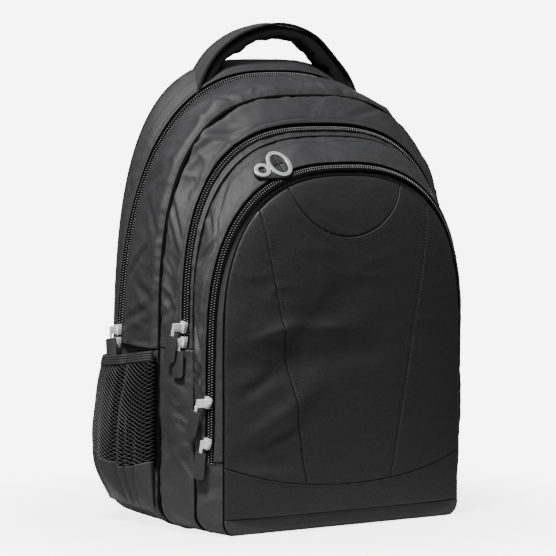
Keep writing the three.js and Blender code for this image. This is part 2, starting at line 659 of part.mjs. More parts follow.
// The base is one sheet that turns up at the back and the front.
function addBase() {
  const [rear, front] = [depthAt(seam.back, 0), depthAt(seam.front, 0)];
  const corner = (y, z, radius, from, to) =>
    Array.from({ length: 4 }, (_, i) => {
      const angle = THREE.MathUtils.lerp(from, to, i / 3);
      return [y + radius * Math.cos(angle), z + radius * Math.sin(angle)];
    });
  const turn = (inset) => [
    [rear - inset, BASE_REAR],
    ...corner(rear - HEEL, HEEL, HEEL - inset, 0, -Math.PI / 2),
    ...corner(front + TOE, TOE, TOE - inset, -Math.PI / 2, -Math.PI),
    [front + inset, BASE_STRIP],
  ];
  const profile = [...turn(0), ...turn(CLOTH).reverse()];
  const channel = prismAlongX(profile, BAG_WIDTH / 2 + SPARE);
  const edge = Object.values(JOINTS).map((joint) => {
    const foot = joint(upSide(RIGHT, LAPTOP_ZIP_END)).at(-1).at;
    return [foot.x - 2 * SEAM, foot.y];
  });
  edge[0][1] += 2 * SEAM; // so that the flat part reaches both turned-up parts
  edge.at(-1)[1] -= 2 * SEAM;
  const mirrored = edge.map(([x, y]) => [-x, y]).reverse();
  const plate = prismAlongZ([...edge, ...mirrored], -SPARE, BASE_REAR + SPARE);
  const rearPart = prismAlongY(insideSeam(seam.back, SEAM, 0), rear - PAD_EDGE, rear + SPARE);
  const frontPart = prismAlongY(insideSeam(seam.front, SEAM, 0), front - SPARE, front + CLOTH);
  const solid = channel.intersect(plate.add(rearPart).add(frontPart));
  add("base_panel", toGeometry(largest(solid)), CLOTH_MATERIAL);
}

function frontSurface(x, z) {
  const s = seam.front;
  const crown = FRONT_CROWN * fullness(s, x, z, 0, 4);
  const dent = FRONT_DENTS.reduce((sum, d) => {
    const a = (x / s.half - d.x) / d.spanX;
    const b = (z / s.apex - d.z) / d.spanZ;
    return sum + d.depth * FOLD_DEPTH * Math.exp(-a * a - b * b);
  }, 0);
  return depthAt(s, z) - crown + dent * Math.min(1, crown / FRONT_CROWN);
}

// A slot of one seam's width along a line of [x, z] points.
function seamSlot(points) {
  const side = (sign) =>
    points.map(([x, z], i) => {
      const [ax, az] = points[Math.max(i - 1, 0)];
      const [bx, bz] = points[Math.min(i + 1, points.length - 1)];
      const length = Math.hypot(bx - ax, bz - az);
      return [x - (sign * SEAM * (bz - az)) / length / 2, z + (sign * SEAM * (bx - ax)) / length / 2];
    });
  return prismAlongY([...side(1), ...side(-1).reverse()], -2 * BAG_DEPTH, BAG_DEPTH);
}

function bootHeight(x) {
  return BOOT_HEIGHT + BOOT_RISE * (Math.abs(x) / seam.front.half) ** BOOT_CURVE;
}

function addFront() {
  const s = seam.front;
  const foot = BASE_STRIP + SEAM;
  const back = (x, z) => frontSurface(x, z) + CLOTH;
  const sheet = sheetOver(s.half + SEAM, foot - SEAM, s.apex + SEAM, 12, 14, frontSurface, back);
  const outline = prismAlongY(insideSeam(s, SEAM, foot), -2 * BAG_DEPTH, BAG_DEPTH);
  const span = s.half + SPARE;
  const boot = Array.from({ length: 17 }, (_, i) => {
    const x = THREE.MathUtils.lerp(-span, span, i / 16);
    return [x, bootHeight(x)];
  });
  const taper = (side) => {
    const top = s.apex + SPARE;
    return [
      [side * TAPER_FOOT, bootHeight(TAPER_FOOT)],
      [side * (TAPER_FOOT + TAPER_SLOPE * (top - bootHeight(TAPER_FOOT))), top],
    ];
  };
  const yoke = Array.from({ length: 19 }, (_, i) => {
    const angle = Math.PI * (1 + i / 18);
    return [YOKE_RADIUS * Math.cos(angle), s.apex + YOKE_ABOVE + YOKE_RADIUS * Math.sin(angle)];
  });
  let cut = sheet.intersect(outline);
  for (const line of [boot, taper(LEFT), taper(RIGHT), yoke]) cut = cut.subtract(seamSlot(line));
  for (const piece of cut.decompose()) {
    add(frontName(piece.boundingBox()), toGeometry(piece), FRONT_MATERIAL);
  }
}

// Which front piece a solid is, from the box round it.
function frontName({ min, max }) {
  if (max[2] < BAG_HEIGHT / 4) return "front_boot";
  if (min[0] > 0) return "front_side_right";
  if (max[0] < 0) return "front_side_left";
  return min[2] > BAG_HEIGHT / 2 ? "front_yoke" : "front_centre";
}

// Bottle pockets

// A pocket's place at u from its rear edge to its front edge and v from its foot to its top.
function pocketPoint(side, u, v, lift) {
  const top = POCKET_TOP - POCKET_SAG * Math.cos((Math.PI * u) / 2);
  const z = THREE.MathUtils.lerp(POCKET_FOOT, top, v);
  const foot = Math.max(z, seam.back.lift); // the pocket hangs straight over the bag's rounded foot
  const rear = new THREE.Vector3(halfWidthAt(seam.back, foot), depthAt(seam.back, z) - POCKET_REAR, z);
  const frontDepth = depthAt(seam.chamber, z) + POCKET_FRONT;
  const p = rear.lerp(new THREE.Vector3(halfWidthAt(seam.chamber, foot), frontDepth, z), u);
  const swell = Math.max(Math.sin(Math.PI * u ** 0.7), 0) ** 0.5;
  const rise = v < 0.35 ? 1 - (1 - v / 0.35) ** 2 : 1 - 0.9 * (v - 0.35) ** 2;
  const fill = POCKET_BULGE * swell * rise;
  const lobes = POCKET_FOLD * Math.exp(-(((u - 0.5) / 0.09) ** 2)) * (1 - v) * Math.min(1, 3 * v);
  p.x = side * (p.x + POCKET_STAND + POCKET_EASE * swell + fill - lobes + lift);
  return p;
}

function pocketWall(side, lowOf, highOf, thick, columns, rows, lift = 0) {
  const grid = (depth) =>
    Array.from({ length: rows + 1 }, (_, i) =>
      Array.from({ length: columns + 1 }, (_, j) => {
        const u = j / columns;
        const v = THREE.MathUtils.lerp(lowOf(u), highOf(u), i / rows);
        return pocketPoint(side, u, v, lift + depth);
      }),
    );
  return wallBetween(grid(thick), grid(0));
}

function addPockets() {
  const height = POCKET_TOP - POCKET_FOOT;
  const gap = SEAM / height;
  const hem = 1 - HEM_HEIGHT / height;
  const netLow = (u) => (NET_LOW - POCKET_FOOT + NET_LOW_REAR * Math.abs(1.4 * u - 1) ** 1.5) / height;
  for (const [side, word] of [[LEFT, "left"], [RIGHT, "right"]]) {
    const base = pocketWall(side, () => 0, (u) => netLow(u) - gap, CLOTH, 10, 2);
    const net = pocketWall(side, netLow, () => hem - gap, CLOTH, 10, 6);
    const top = pocketWall(side, () => hem, () => 1, HEM_THICK, 10, 1);
    add(`pocket_base_${word}`, base, CLOTH_MATERIAL);
    add(`pocket_net_${word}`, net, NET_MATERIAL);
    add(`pocket_hem_${word}`, top, WEB_MATERIAL);
  }
}

// Handle and shoulder straps

// A closed solid through rings of points, with flat ends.
function loft(rings) {
  const n = rings[0].length;
  const positions = [];
  rings.forEach((ring) => ring.forEach((p) => positions.push(...p.toArray())));
  const index = [];
  for (let i = 0; i + 1 < rings.length; i++) {
    for (let j = 0; j < n; j++) {
      const k = (j + 1) % n;
      index.push(i * n + j, i * n + k, (i + 1) * n + k, i * n + j, (i + 1) * n + k, (i + 1) * n + j);
    }
  }
  const last = (rings.length - 1) * n;
  for (let j = 1; j + 1 < n; j++) {
    index.push(0, j + 1, j, last, last + j, last + j + 1);
  }
  const geometry = new THREE.BufferGeometry();
  geometry.setAttribute("position", new THREE.Float32BufferAttribute(positions, 3));
  geometry.setIndex(index);
  return facingOut(geometry);
}

// The outline of a strap's section: flat faces and blunt edges, or a plain rectangle when round is 0.
function strapSection(width, thick, round) {
  const [w, t] = [width / 2, thick / 2];
  if (round === 0) return [[w, t], [-w, t], [-w, -t], [w, -t]];
  const [flat, blunt] = [w - round, t * 0.4];
  const upper = [[flat, t], [-flat, t], [-w, blunt]];
  return [...upper, ...upper.map(([a, b]) => [-a, -b])];
}

// A strap along a smooth path. sizeAt gives width, thick, round and roll at a share of its length.
function strap(path, steps, sizeAt) {
  const curve = new THREE.CatmullRomCurve3(path, false, "centripetal");
  const rings = [];
  for (let i = 0; i <= steps; i++) {
    const at = curve.getPointAt(i / steps);
    const tangent = curve.getTangentAt(i / steps);
    const { width, thick, round, across, roll = 0 } = sizeAt(i / steps);
    const wide = across.clone().addScaledVector(tangent, -across.dot(tangent)).normalize();
    wide.applyAxisAngle(tangent, roll);
    const thin = tangent.clone().cross(wide).normalize();
    rings.push(
      strapSection(width, thick, round).map(([a, b]) =>
        at.clone().addScaledVector(wide, a).addScaledVector(thin, b),
      ),
    );
  }
  return loft(rings);
}

// The solid's largest piece, for a strap whose hidden ends are cut away by what it's sewn to.
function largest(solid) {
  return solid.decompose().sort((a, b) => b.volume() - a.volume())[0];
}

function addHandle() {
  const along = (depth) =>
    HANDLE_PATH.map((row) => {
      const z = BAG_HEIGHT + row.rise * HANDLE_RISE - depth;
      return new THREE.Vector3(row.across * BAG_WIDTH, -HANDLE_DEPTH, z);
    });
  const across = new THREE.Vector3(0, 1, 0);
  const block = gussetBlock(REAR_BULGE + 2 * SEAM);
  const web = strap(along(0), 24, () => ({ width: HANDLE_WIDTH, thick: WEBBING, round: 0, across }));
  const below = (WEBBING + HANDLE_PAD) / 2 + SEAM;
  const padLine = insetPath(along(0), below);
  const padWidth = HANDLE_WIDTH - 2 * HANDLE_HEM;
  const pad = strap(padLine, 24, () => ({ width: padWidth, thick: HANDLE_PAD, round: PAD_ROUND, across }));
  add("handle_webbing", toGeometry(largest(toSolid(web).subtract(block))), WEB_MATERIAL);
  add("handle_grip", toGeometry(largest(toSolid(pad).subtract(block))), CLOTH_MATERIAL);
}

// A path in an XZ plane moved to its inner side.
function insetPath(path, distance) {
  return path.map((p, i) => {
    const along = path[Math.min(i + 1, path.length - 1)].clone().sub(path[Math.max(i - 1, 0)]).normalize();
    return new THREE.Vector3(p.x + along.z * distance, p.y, p.z - along.x * distance);
  });
}

// The place and directions of the adjuster below a strap's tail, as a matrix: X across, Y outwards, Z up.
function tailFrame(end, before) {
  const up = before.clone().sub(end).normalize();
  const out = new THREE.Vector3(0, 1, 0).addScaledVector(up, -up.y).normalize();
  const across = out.clone().cross(up);
  return new THREE.Matrix4().makeBasis(across, out, up).setPosition(end);
}

const ADJUSTER_HEIGHT = 3 * ADJUSTER_BAR + ADJUSTER_SLOT_TOP + ADJUSTER_SLOT_LOW;
const LOOP_DROP = 2.5; // from the strap's tail to the adjuster
const WEB_OFFSET = ADJUSTER_THICK / 2 + WEBBING / 2 + SEAM;

function box(width, depth, height, x, y, z) {
  const geometry = new THREE.BoxGeometry(width, depth, height);
  geometry.translate(x, y, z);
  return toSolid(geometry);
}

// Three-bar slide, its top at z = -LOOP_DROP in the tail's frame.
function adjusterShape() {
  const slotWidth = ADJUSTER_WIDTH - 2 * ADJUSTER_BAR;
  const top = -LOOP_DROP;
  const slotTop = top - ADJUSTER_BAR - ADJUSTER_SLOT_TOP / 2;
  const slotLow = top - 2 * ADJUSTER_BAR - ADJUSTER_SLOT_TOP - ADJUSTER_SLOT_LOW / 2;
  const plate = box(ADJUSTER_WIDTH, ADJUSTER_THICK, ADJUSTER_HEIGHT, 0, 0, top - ADJUSTER_HEIGHT / 2);
  const upper = box(slotWidth, 2 * ADJUSTER_THICK, ADJUSTER_SLOT_TOP, 0, 0, slotTop);
  const lower = box(slotWidth, 2 * ADJUSTER_THICK, ADJUSTER_SLOT_LOW, 0, 0, slotLow);
  return plate.subtract(upper).subtract(lower);
}

// A half turn of [y, z] points round a bar's edge, from the side y < 0 to the side y > 0.
function halfTurn(z, sign) {
  return Array.from({ length: 7 }, (_, i) => {
    const angle = Math.PI * (1 - i / 6);
    return [WEB_OFFSET * Math.cos(angle), z + sign * WEB_OFFSET * Math.sin(angle)];
  });
}

function addStrap(side, word) {
  const path = STRAP_PATH.map(
    (row) =>
      new THREE.Vector3(side * row.across * BAG_WIDTH, row.behind * STRAP_REACH, row.height * BAG_HEIGHT),
  );
  const across = new THREE.Vector3(1, 0, 0);
  const widthAt = (share) => {
    const place = share * (STRAP_PATH.length - 1);
    const i = Math.min(Math.floor(place), STRAP_PATH.length - 2);
    return STRAP_WIDTH * THREE.MathUtils.lerp(STRAP_PATH[i].width, STRAP_PATH[i + 1].width, place - i);
  };
  const size = (share) => ({ width: widthAt(share), thick: STRAP_THICK, round: PAD_ROUND, across });
  add(`strap_pad_${word}`, strap(path, 18, size), PAD_MATERIAL);

  const frame = tailFrame(path.at(-1), path.at(-2));
  const placed = (y, z) => new THREE.Vector3(0, y, z).applyMatrix4(frame);
  const wide = new THREE.Vector3().setFromMatrixColumn(frame, 0);
  const flat = (width) => () => ({ width, thick: WEBBING, round: 0, across: wide });
  add(`strap_adjuster_${word}`, toGeometry(adjusterShape()).applyMatrix4(frame), PLASTIC_MATERIAL);

  const barFoot = -LOOP_DROP - ADJUSTER_BAR;
  const loopTurn = halfTurn(barFoot, -1);
  const loopPath = [[-WEB_OFFSET, -SEAM], ...loopTurn, [WEB_OFFSET, -SEAM]];
  const loop = polyStrap(loopPath.map(([y, z]) => placed(y, z)), flat(WEBBING_WIDTH)());
  add(`strap_loop_${word}`, loop, WEB_MATERIAL);

  const lowBar = -LOOP_DROP - ADJUSTER_HEIGHT + ADJUSTER_BAR;
  const turn = halfTurn(lowBar, 1).map(([y, z]) => placed(y, z));
  const anchor = new THREE.Vector3(side * anchorAcross(), PAD_BULGE + WEBBING, ANCHOR_HEIGHT);
  const below = placed(-WEB_OFFSET, lowBar - 2 * ADJUSTER_BAR);
  const run = [anchor, ...[0.35, 0.7].map((t) => anchor.clone().lerp(below, t)), below];
  run[1].y += WEB_SLACK;
  run[2].y += WEB_SLACK;
  const tail = placed(WEB_OFFSET, lowBar - 2 * ADJUSTER_BAR);
  const tailEnd = new THREE.Vector3(tail.x + side * TAIL_SPREAD, tail.y + TAIL_SPREAD, tail.z - TAIL_LENGTH);
  const webbing = polyStrap([...run, ...turn, tail, tailEnd], flat(WEBBING_WIDTH)());
  add(`strap_webbing_${word}`, webbing, WEB_MATERIAL);
  addAnchor(side, word);
}

// A strap through straight stretches, as loft sections at each corner.
function polyStrap(points, { width, thick, across }) {
  const rings = points.map((p, i) => {
    const ahead = points[Math.min(i + 1, points.length - 1)];
    const behind = points[Math.max(i - 1, 0)];
    const tangent = ahead.clone().sub(behind).normalize();
    const wide = across.clone().addScaledVector(tangent, -across.dot(tangent)).normalize();
    const thin = tangent.clone().cross(wide);
    return strapSection(width, thick, 0).map(([a, b]) =>
      p.clone().addScaledVector(wide, a).addScaledVector(thin, b),
    );
  });
  return loft(rings);
}

// The middle of a strap's lower end, from the middle of the bag.
function anchorAcross() {
  return seam.back.half - ANCHOR_INSET;
}

// The fabric tab in the lower corner of the back that the webbing is sewn to.
function addAnchor(side, word) {
  const top = ANCHOR_HEIGHT - SEAM;
  const low = top - ANCHOR_TAB;
  const [across, half] = [anchorAcross(), WEBBING_WIDTH / 2 + ANCHOR_HEM];
  const outline = [
    [side * (across - half), top],
    [side * (across + half), top],
    [side * (across + half), low + ANCHOR_POINT],
    [side * (across - half / 4), low],
  ];
  const tab = prismAlongY(side === LEFT ? outline.reverse() : outline, -PAD_EDGE, BAG_DEPTH);
  const skin = backBlock(SEAM + CLOTH).subtract(backBlock(SEAM));
  add(`strap_anchor_${word}`, toGeometry(tab.intersect(skin)), CLOTH_MATERIAL);
}

// The padded back as a solid with this much room round it.
function backBlock(clear) {
  const s = seam.back;
  const outer = (x, z) => depthAt(s, z) + PAD_BULGE * fullness(s, x, z, BASE_REAR + SEAM, 4) + clear;
  const inner = (x, z) => depthAt(s, z) - 2 * PAD_EDGE;
  return sheetOver(s.half + SEAM, 0, s.apex + SEAM, 8, 10, inner, outer);
}

// Zip sliders and their pulls

// Places a shape on a zip's line at a height on the left side: X across the zip, Y outwards, Z along it.
function zipFrame(line, z, lift, lean) {
  const i = line.findIndex((p, k) => k > 0 && p.at.z >= z) || 1;
  const [a, b] = [line[i - 1], line[i]];
  const share = (z - a.at.z) / (b.at.z - a.at.z);
  const at = a.at.clone().lerp(b.at, share);
  const up = b.at.clone().sub(a.at).normalize();
  const out = a.out.clone().addScaledVector(up, -a.out.dot(up)).normalize();
  const across = out.clone().cross(up);
  const turned = new THREE.Matrix4().makeBasis(across, out, up);
  return turned.multiply(new THREE.Matrix4().makeRotationY(lean)).setPosition(at.addScaledVector(out, lift));
}

function outlinePrism(points, thick) {
  return prismAlongY(points, -thick / 2, thick / 2);
}

function sliderShape(raise) {
  const [w, h] = [SLIDER_WIDTH / 2, SLIDER_LENGTH / 2];
  const body = outlinePrism(
    [
      [-w, h],
      [-w, 0],
      [-w * 0.55, -h],
      [w * 0.55, -h],
      [w, 0],
      [w, h],
    ],
    SLIDER_THICK,
  );
  const top = PULL_DEPTH + raise + LINK_THICK / 2;
  const bridge = box(SLIDER_WIDTH * 0.4, top, SLIDER_LENGTH * 0.7, 0, top / 2, 0);
  const reach = EYE + LINK_DEEP;
  const link = box(LINK_WIDTH, LINK_THICK, reach, 0, 0, EYE_ROOT - h - reach / 2);
  return body.add(bridge).add(turnedPull(link, raise));
}

// Turns a pull's shape about its own length and lifts it over the slider.
function turnedPull(shape, raise) {
  return shape.rotate(0, 0, PULL_TURN).translate(0, PULL_DEPTH + raise, 0);
}

function pullShape(raise) {
  const [w, r, b] = [PULL_WIDTH / 2, PULL_CORNER, PULL_BEVEL];
  const top = EYE_ROOT - SLIDER_LENGTH / 2 - EYE;
  const outline = [
    [-w, top - b],
    [-w + b, top],
    [w - b, top],
    [w, top - b],
    [w, top - PULL_LENGTH + r],
    [w - r, top - PULL_LENGTH],
    [-w + r, top - PULL_LENGTH],
    [-w, top - PULL_LENGTH + r],
  ];
  const room = 2 * SEAM;
  const deep = LINK_DEEP + 2 * room; // from a little above the tab's top
  const socket = box(LINK_WIDTH + room, LINK_THICK + room, deep, 0, 0, top + room - deep / 2);
  return turnedPull(outlinePrism(outline.reverse(), PULL_THICK).subtract(socket), raise);
}

function addSliders() {
  const zips = {
    laptop: { end: LAPTOP_ZIP_END, seam: seam.laptopZip },
    main: { end: MAIN_ZIP_END, seam: seam.mainZip },
    front: { end: FRONT_ZIP_END, seam: seam.frontZip },
  };
  for (const row of SLIDERS) {
    const zip = zips[row.zip];
    const height = zip.end + row.above * SLIDER_LENGTH;
    const frame = zipFrame(overTop(zip.end)(zip.seam), height, SLIDER_LIFT, row.lean);
    const raise = row.raise * PULL_RAISE;
    const slider = toGeometry(sliderShape(raise)).applyMatrix4(frame);
    const pull = toGeometry(pullShape(raise)).applyMatrix4(frame);
    add(`${row.zip}_slider_${row.name}`, slider, METAL_MATERIAL);
    add(`${row.zip}_pull_${row.name}`, pull, RUBBER_MATERIAL);
  }
}

// Cable port on the organiser's left shoulder

// The place at a share along and across a grid of points, with its directions.
function placeOnGrid(grid, across, along) {
  const at = (a, b) => {
    const [r, c] = [a * (grid.length - 1), b * (grid[0].length - 1)];
    const [i, j] = [Math.min(Math.floor(r), grid.length - 2), Math.min(Math.floor(c), grid[0].length - 2)];
    const low = grid[i][j].clone().lerp(grid[i][j + 1], c - j);
    const high = grid[i + 1][j].clone().lerp(grid[i + 1][j + 1], c - j);
    return low.lerp(high, r - i);
  };
  const p = at(across, along);
  const tangent = at(across, along + 0.04).sub(at(across, along - 0.04)).normalize();
  const side = at(across + 0.2, along).sub(at(across - 0.2, along)).normalize();
  const out = side.clone().cross(tangent).normalize();
  return { p, tangent, out };
}

function portFrame() {
  const { main, zip, look } = organiserBand();
  const grid = bandGrid(main, zip.rear, look).outer;
  const { p, tangent, out } = placeOnGrid(grid, PORT_ACROSS, PORT_ALONG);
  if (out.z < 0) out.negate();
  const frame = new THREE.Matrix4().makeBasis(tangent, out, tangent.clone().cross(out));
  return frame.multiply(new THREE.Matrix4().makeRotationY(-PORT_TURN)).setPosition(p);
}

function ellipsePoints(x, halfLong, halfShort, steps) {
  return Array.from({ length: steps }, (_, i) => {
    const angle = (2 * Math.PI * i) / steps;
    return [x + halfLong * Math.cos(angle), halfShort * Math.sin(angle)];
  });
}

function organiserWithHole(geometry) {
  const hole = prismAlongY(ellipsePoints(0, ...PORT_OVAL, 16), -SPARE, SPARE);
  return toGeometry(toSolid(geometry).subtract(hole.transform(portFrame().elements)));
}

// The port's flat pieces lie in its frame: X along the band, Z across it, Y outwards.
// Rubber patch round two eyes, a large oval one with crossed slits and a small round one, each in a
// silver ring, the rings joined.
function addPort() {
  const frame = portFrame();
  const low = PORT_LIFT;
  const high = low + PORT_THICK;
  const ovalLine = (grow) => ellipsePoints(0, PORT_OVAL[0] + grow, PORT_OVAL[1] + grow, 24);
  const smallLine = (grow) => ellipsePoints(-PORT_SPACING, PORT_EYE + grow, PORT_EYE + grow, 16);
  const oval = (grow, from, to) => prismAlongY(ovalLine(grow), from, to);
  const small = (grow, from, to) => prismAlongY(smallLine(grow), from, to);
  const edge = RING_WIDTH + PATCH_HEM;
  const patch = wasm.Manifold.hull([oval(edge, low, high), small(edge, low, high)]);
  const [shortSlit, longSlit] = PORT_OVAL.map((half) => 2 * (half - SLIT_END));
  const slits = box(shortSlit, 4 * PORT_THICK, PORT_SLIT, 0, low, 0).add(
    box(PORT_SLIT, 4 * PORT_THICK, longSlit, 0, low, 0),
  );
  const dimple = small(-DIMPLE_HEM, low + PORT_THICK / 2, high + PORT_THICK);
  add("cable_port", toGeometry(patch.subtract(slits).subtract(dimple)).applyMatrix4(frame), RUBBER_MATERIAL);
  const base = high + SEAM / 2;
  const rings = oval(RING_WIDTH, base, base + RING_RISE).add(small(RING_WIDTH, base, base + RING_RISE));
  const through = [base - RING_RISE, base + 2 * RING_RISE];
  const holes = oval(0, ...through).add(small(0, ...through));
  add("cable_port_trim", toGeometry(rings.subtract(holes)).applyMatrix4(frame), SILVER_MATERIAL);
}

addBackPanel();
addBase();
addLaptopChamber();
addMainChamber();
addOrganiser();
addPartitions();
addFront();
addPockets();
addHandle();
addStrap(LEFT, "left");
addStrap(RIGHT, "right");
addSliders();
addPort();

// The frame's origin is the middle of the whole object's box, on the floor.
const bounds = new THREE.Box3().setFromObject(bag);
bag.position.set(0, -(bounds.min.y + bounds.max.y) / 2, -bounds.min.z);
bag.updateMatrixWorld(true);

export default bag;
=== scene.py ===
import math

import bmesh
import bpy
import numpy as np
from mathutils import Matrix, Vector


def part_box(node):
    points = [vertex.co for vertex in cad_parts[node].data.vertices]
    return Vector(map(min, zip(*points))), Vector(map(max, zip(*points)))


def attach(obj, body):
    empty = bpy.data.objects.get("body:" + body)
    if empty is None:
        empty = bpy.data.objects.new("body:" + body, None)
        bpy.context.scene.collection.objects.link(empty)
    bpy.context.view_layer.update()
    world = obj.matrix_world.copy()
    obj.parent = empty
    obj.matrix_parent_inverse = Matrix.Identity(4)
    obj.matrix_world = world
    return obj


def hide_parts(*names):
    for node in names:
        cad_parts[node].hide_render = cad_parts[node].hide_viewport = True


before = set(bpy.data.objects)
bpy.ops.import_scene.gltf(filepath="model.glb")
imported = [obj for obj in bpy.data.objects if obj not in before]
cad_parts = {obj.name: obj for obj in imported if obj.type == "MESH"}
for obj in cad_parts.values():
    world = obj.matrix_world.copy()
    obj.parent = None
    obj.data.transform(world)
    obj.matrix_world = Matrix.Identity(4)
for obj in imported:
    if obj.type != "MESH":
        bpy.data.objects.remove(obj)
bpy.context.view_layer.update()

MM = 0.001
LEFT, RIGHT = -1, 1
SIDES = ((LEFT, "left"), (RIGHT, "right"))

# Sizes of the bag in millimetres, as in the part's source
BAG_HEIGHT, BAG_WIDTH, BAG_DEPTH = 474, 340, 198
CLOTH = 2
CLOTH_WALL = 0.6 * CLOTH  # of a dressed sheet, whose relief takes up the rest
SEAM = 0.5
PAD_EDGE, PAD_BULGE = 5, 6
FRONT_CROWN = 12
ZIP_WIDTH = 9
TAPE_SINK = 0.8
LAPTOP_ZIP_END, MAIN_ZIP_END, FRONT_ZIP_END = 182, 185, 74
LAPTOP_BULGE, MAIN_BULGE, ORGANISER_BULGE = 6, 5, 4
BASE_STRIP, BASE_REAR = 17, 22
BOOT_HEIGHT, BOOT_RISE, BOOT_CURVE = 45, 24, 2.2
YOKE_RADIUS, YOKE_ABOVE = 71, 10
TAPER_FOOT, TAPER_SLOPE = 50.5, 0.186
POCKET_TOP, POCKET_FOOT = 181, 20
HEM_HEIGHT, HEM_THICK = 11, 3
POCKET_BULGE, POCKET_SAG, POCKET_FOLD = 28, 11, 6
POCKET_FRONT, POCKET_REAR = 3, 9
NET_LOW, NET_LOW_REAR = 62, 26
HANDLE_WIDTH, HANDLE_PAD, HANDLE_RISE, HANDLE_DEPTH = 26, 15, 36, 52.5
STRAP_WIDTH, STRAP_THICK, STRAP_REACH = 62, 12, 42
WEBBING = 1.6
SHOULDER = 0.4  # where the arches leave the uprights, as a share of the bag's height
FADE_HEIGHT = 60  # how high over the floor the relief of the sides is at its full depth

# Into how many steps the solids divide a seam's straight side, its shoulder, its rounded foot and
# the wall above it
SIDE_STEPS, SHOULDER_STEPS, FOOT_STEPS, WALL_STEPS = 2, 10, 3, 4

# How far back from the frame's middle the bag's rear edge lies
BACK_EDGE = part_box("base_panel")[1].y / MM

# The seams from back to front, as shares of the bag's depth, width and height: how far forward each
# lies at the floor and at its top, its half width, its apex, how square its arch is (round), and the
# width and lift of its rounded foot
SEAMS = {
    "back": dict(low=0.0, top=0.172, half=0.471, apex=1.0, round=3.15, foot=0.13, lift=0.065),
    "laptop_zip": dict(low=0.132, top=0.369, half=0.488, apex=0.964, round=2.65, foot=0.13, lift=0.064),
    "chamber": dict(low=0.586, top=0.636, half=0.5, apex=0.919, round=3.0, foot=0.13, lift=0.06),
    "main_zip": dict(low=0.803, top=0.763, half=0.476, apex=0.848, round=2.8, foot=0.1, lift=0.05),
    "main": dict(low=0.85, top=0.805, half=0.468, apex=0.832, round=2.75, foot=0.09, lift=0.045),
    "front_zip": dict(low=0.932, top=0.985, half=0.446, apex=0.768, round=2.55, foot=0.05, lift=0.03),
    "front": dict(low=1.0, top=1.0, half=0.421, apex=0.749, round=2.55, foot=0.045, lift=0.03),
}

# Soft dents in each band: place and spans as shares of its length and width, depth in millimetres
DENTS = {
    "laptop": [
        dict(along=0.1, across=0.75, span_along=0.05, span_across=0.3, depth=5.4),
        dict(along=0.2, across=0.45, span_along=0.04, span_across=0.35, depth=4.2),
        dict(along=0.31, across=0.8, span_along=0.03, span_across=0.3, depth=4.8),
        dict(along=0.45, across=0.85, span_along=0.03, span_across=0.3, depth=3.6),
        dict(along=0.58, across=0.85, span_along=0.03, span_across=0.3, depth=5.4),
        dict(along=0.78, across=0.5, span_along=0.05, span_across=0.4, depth=4.2),
    ],
    "main": [
        dict(along=0.14, across=0.5, span_along=0.04, span_across=0.4, depth=3.6),
        dict(along=0.27, across=0.45, span_along=0.035, span_across=0.4, depth=5.4),
        dict(along=0.37, across=0.6, span_along=0.03, span_across=0.4, depth=3.6),
        dict(along=0.64, across=0.5, span_along=0.05, span_across=0.4, depth=3.6),
        dict(along=0.86, across=0.5, span_along=0.05, span_across=0.4, depth=4.2),
    ],
    "organiser": [
        dict(along=0.22, across=0.5, span_along=0.05, span_across=0.5, depth=3.0),
        dict(along=0.43, across=0.45, span_along=0.04, span_across=0.5, depth=3.0),
        dict(along=0.68, across=0.5, span_along=0.05, span_across=0.5, depth=3.0),
    ],
}

# Creases pressed across each band: middle and length as shares of the band, width and depth in
# millimetres, and lean, how far the crease runs along the band while it crosses it, as a share of its length
CREASES = {
    "laptop": [
        dict(along=0.045, across=0.45, long=0.4, wide=4, lean=0.012, depth=1.8),
        dict(along=0.07, across=0.7, long=0.35, wide=5, lean=-0.02, depth=2.2),
        dict(along=0.12, across=0.4, long=0.3, wide=5, lean=0.03, depth=1.8),
        dict(along=0.17, across=0.7, long=0.35, wide=6, lean=-0.035, depth=2.4),
        dict(along=0.24, across=0.5, long=0.4, wide=7, lean=0.03, depth=1.6),
        dict(along=0.385, across=0.8, long=0.2, wide=4, lean=0.012, depth=2.6),
        dict(along=0.43, across=0.85, long=0.16, wide=3, lean=-0.01, depth=2.2),
        dict(along=0.53, across=0.85, long=0.16, wide=3, lean=0.01, depth=2.4),
        dict(along=0.57, across=0.8, long=0.2, wide=4, lean=-0.012, depth=2.6),
        dict(along=0.7, across=0.6, long=0.4, wide=6, lean=0.03, depth=2.0),
        dict(along=0.86, across=0.5, long=0.4, wide=6, lean=-0.03, depth=2.0),
    ],
    "main": [
        dict(along=0.05, across=0.5, long=0.45, wide=4, lean=0.015, depth=1.6),
        dict(along=0.19, across=0.5, long=0.45, wide=5, lean=-0.03, depth=1.8),
        dict(along=0.3, across=0.45, long=0.4, wide=5, lean=0.05, depth=2.4),
        dict(along=0.335, across=0.5, long=0.4, wide=5, lean=0.05, depth=2.2),
        dict(along=0.46, across=0.6, long=0.35, wide=7, lean=0.04, depth=1.8),
        dict(along=0.6, across=0.5, long=0.4, wide=6, lean=-0.04, depth=1.8),
        dict(along=0.75, across=0.5, long=0.4, wide=6, lean=0.04, depth=1.8),
        dict(along=0.93, across=0.5, long=0.45, wide=4, lean=-0.015, depth=1.6),
    ],
    "organiser": [
        dict(along=0.1, across=0.5, long=0.5, wide=5, lean=0.02, depth=2.0),
        dict(along=0.155, across=0.45, long=0.5, wide=5, lean=-0.03, depth=2.2),
        dict(along=0.255, across=0.5, long=0.45, wide=5, lean=0.03, depth=2.0),
        dict(along=0.3, across=0.6, long=0.3, wide=4, lean=-0.03, depth=1.4),
        dict(along=0.5, across=0.4, long=0.4, wide=7, lean=0.03, depth=1.0),
        dict(along=0.75, across=0.5, long=0.45, wide=5, lean=0.03, depth=1.8),
        dict(along=0.9, across=0.5, long=0.45, wide=5, lean=-0.02, depth=1.8),
    ],
}


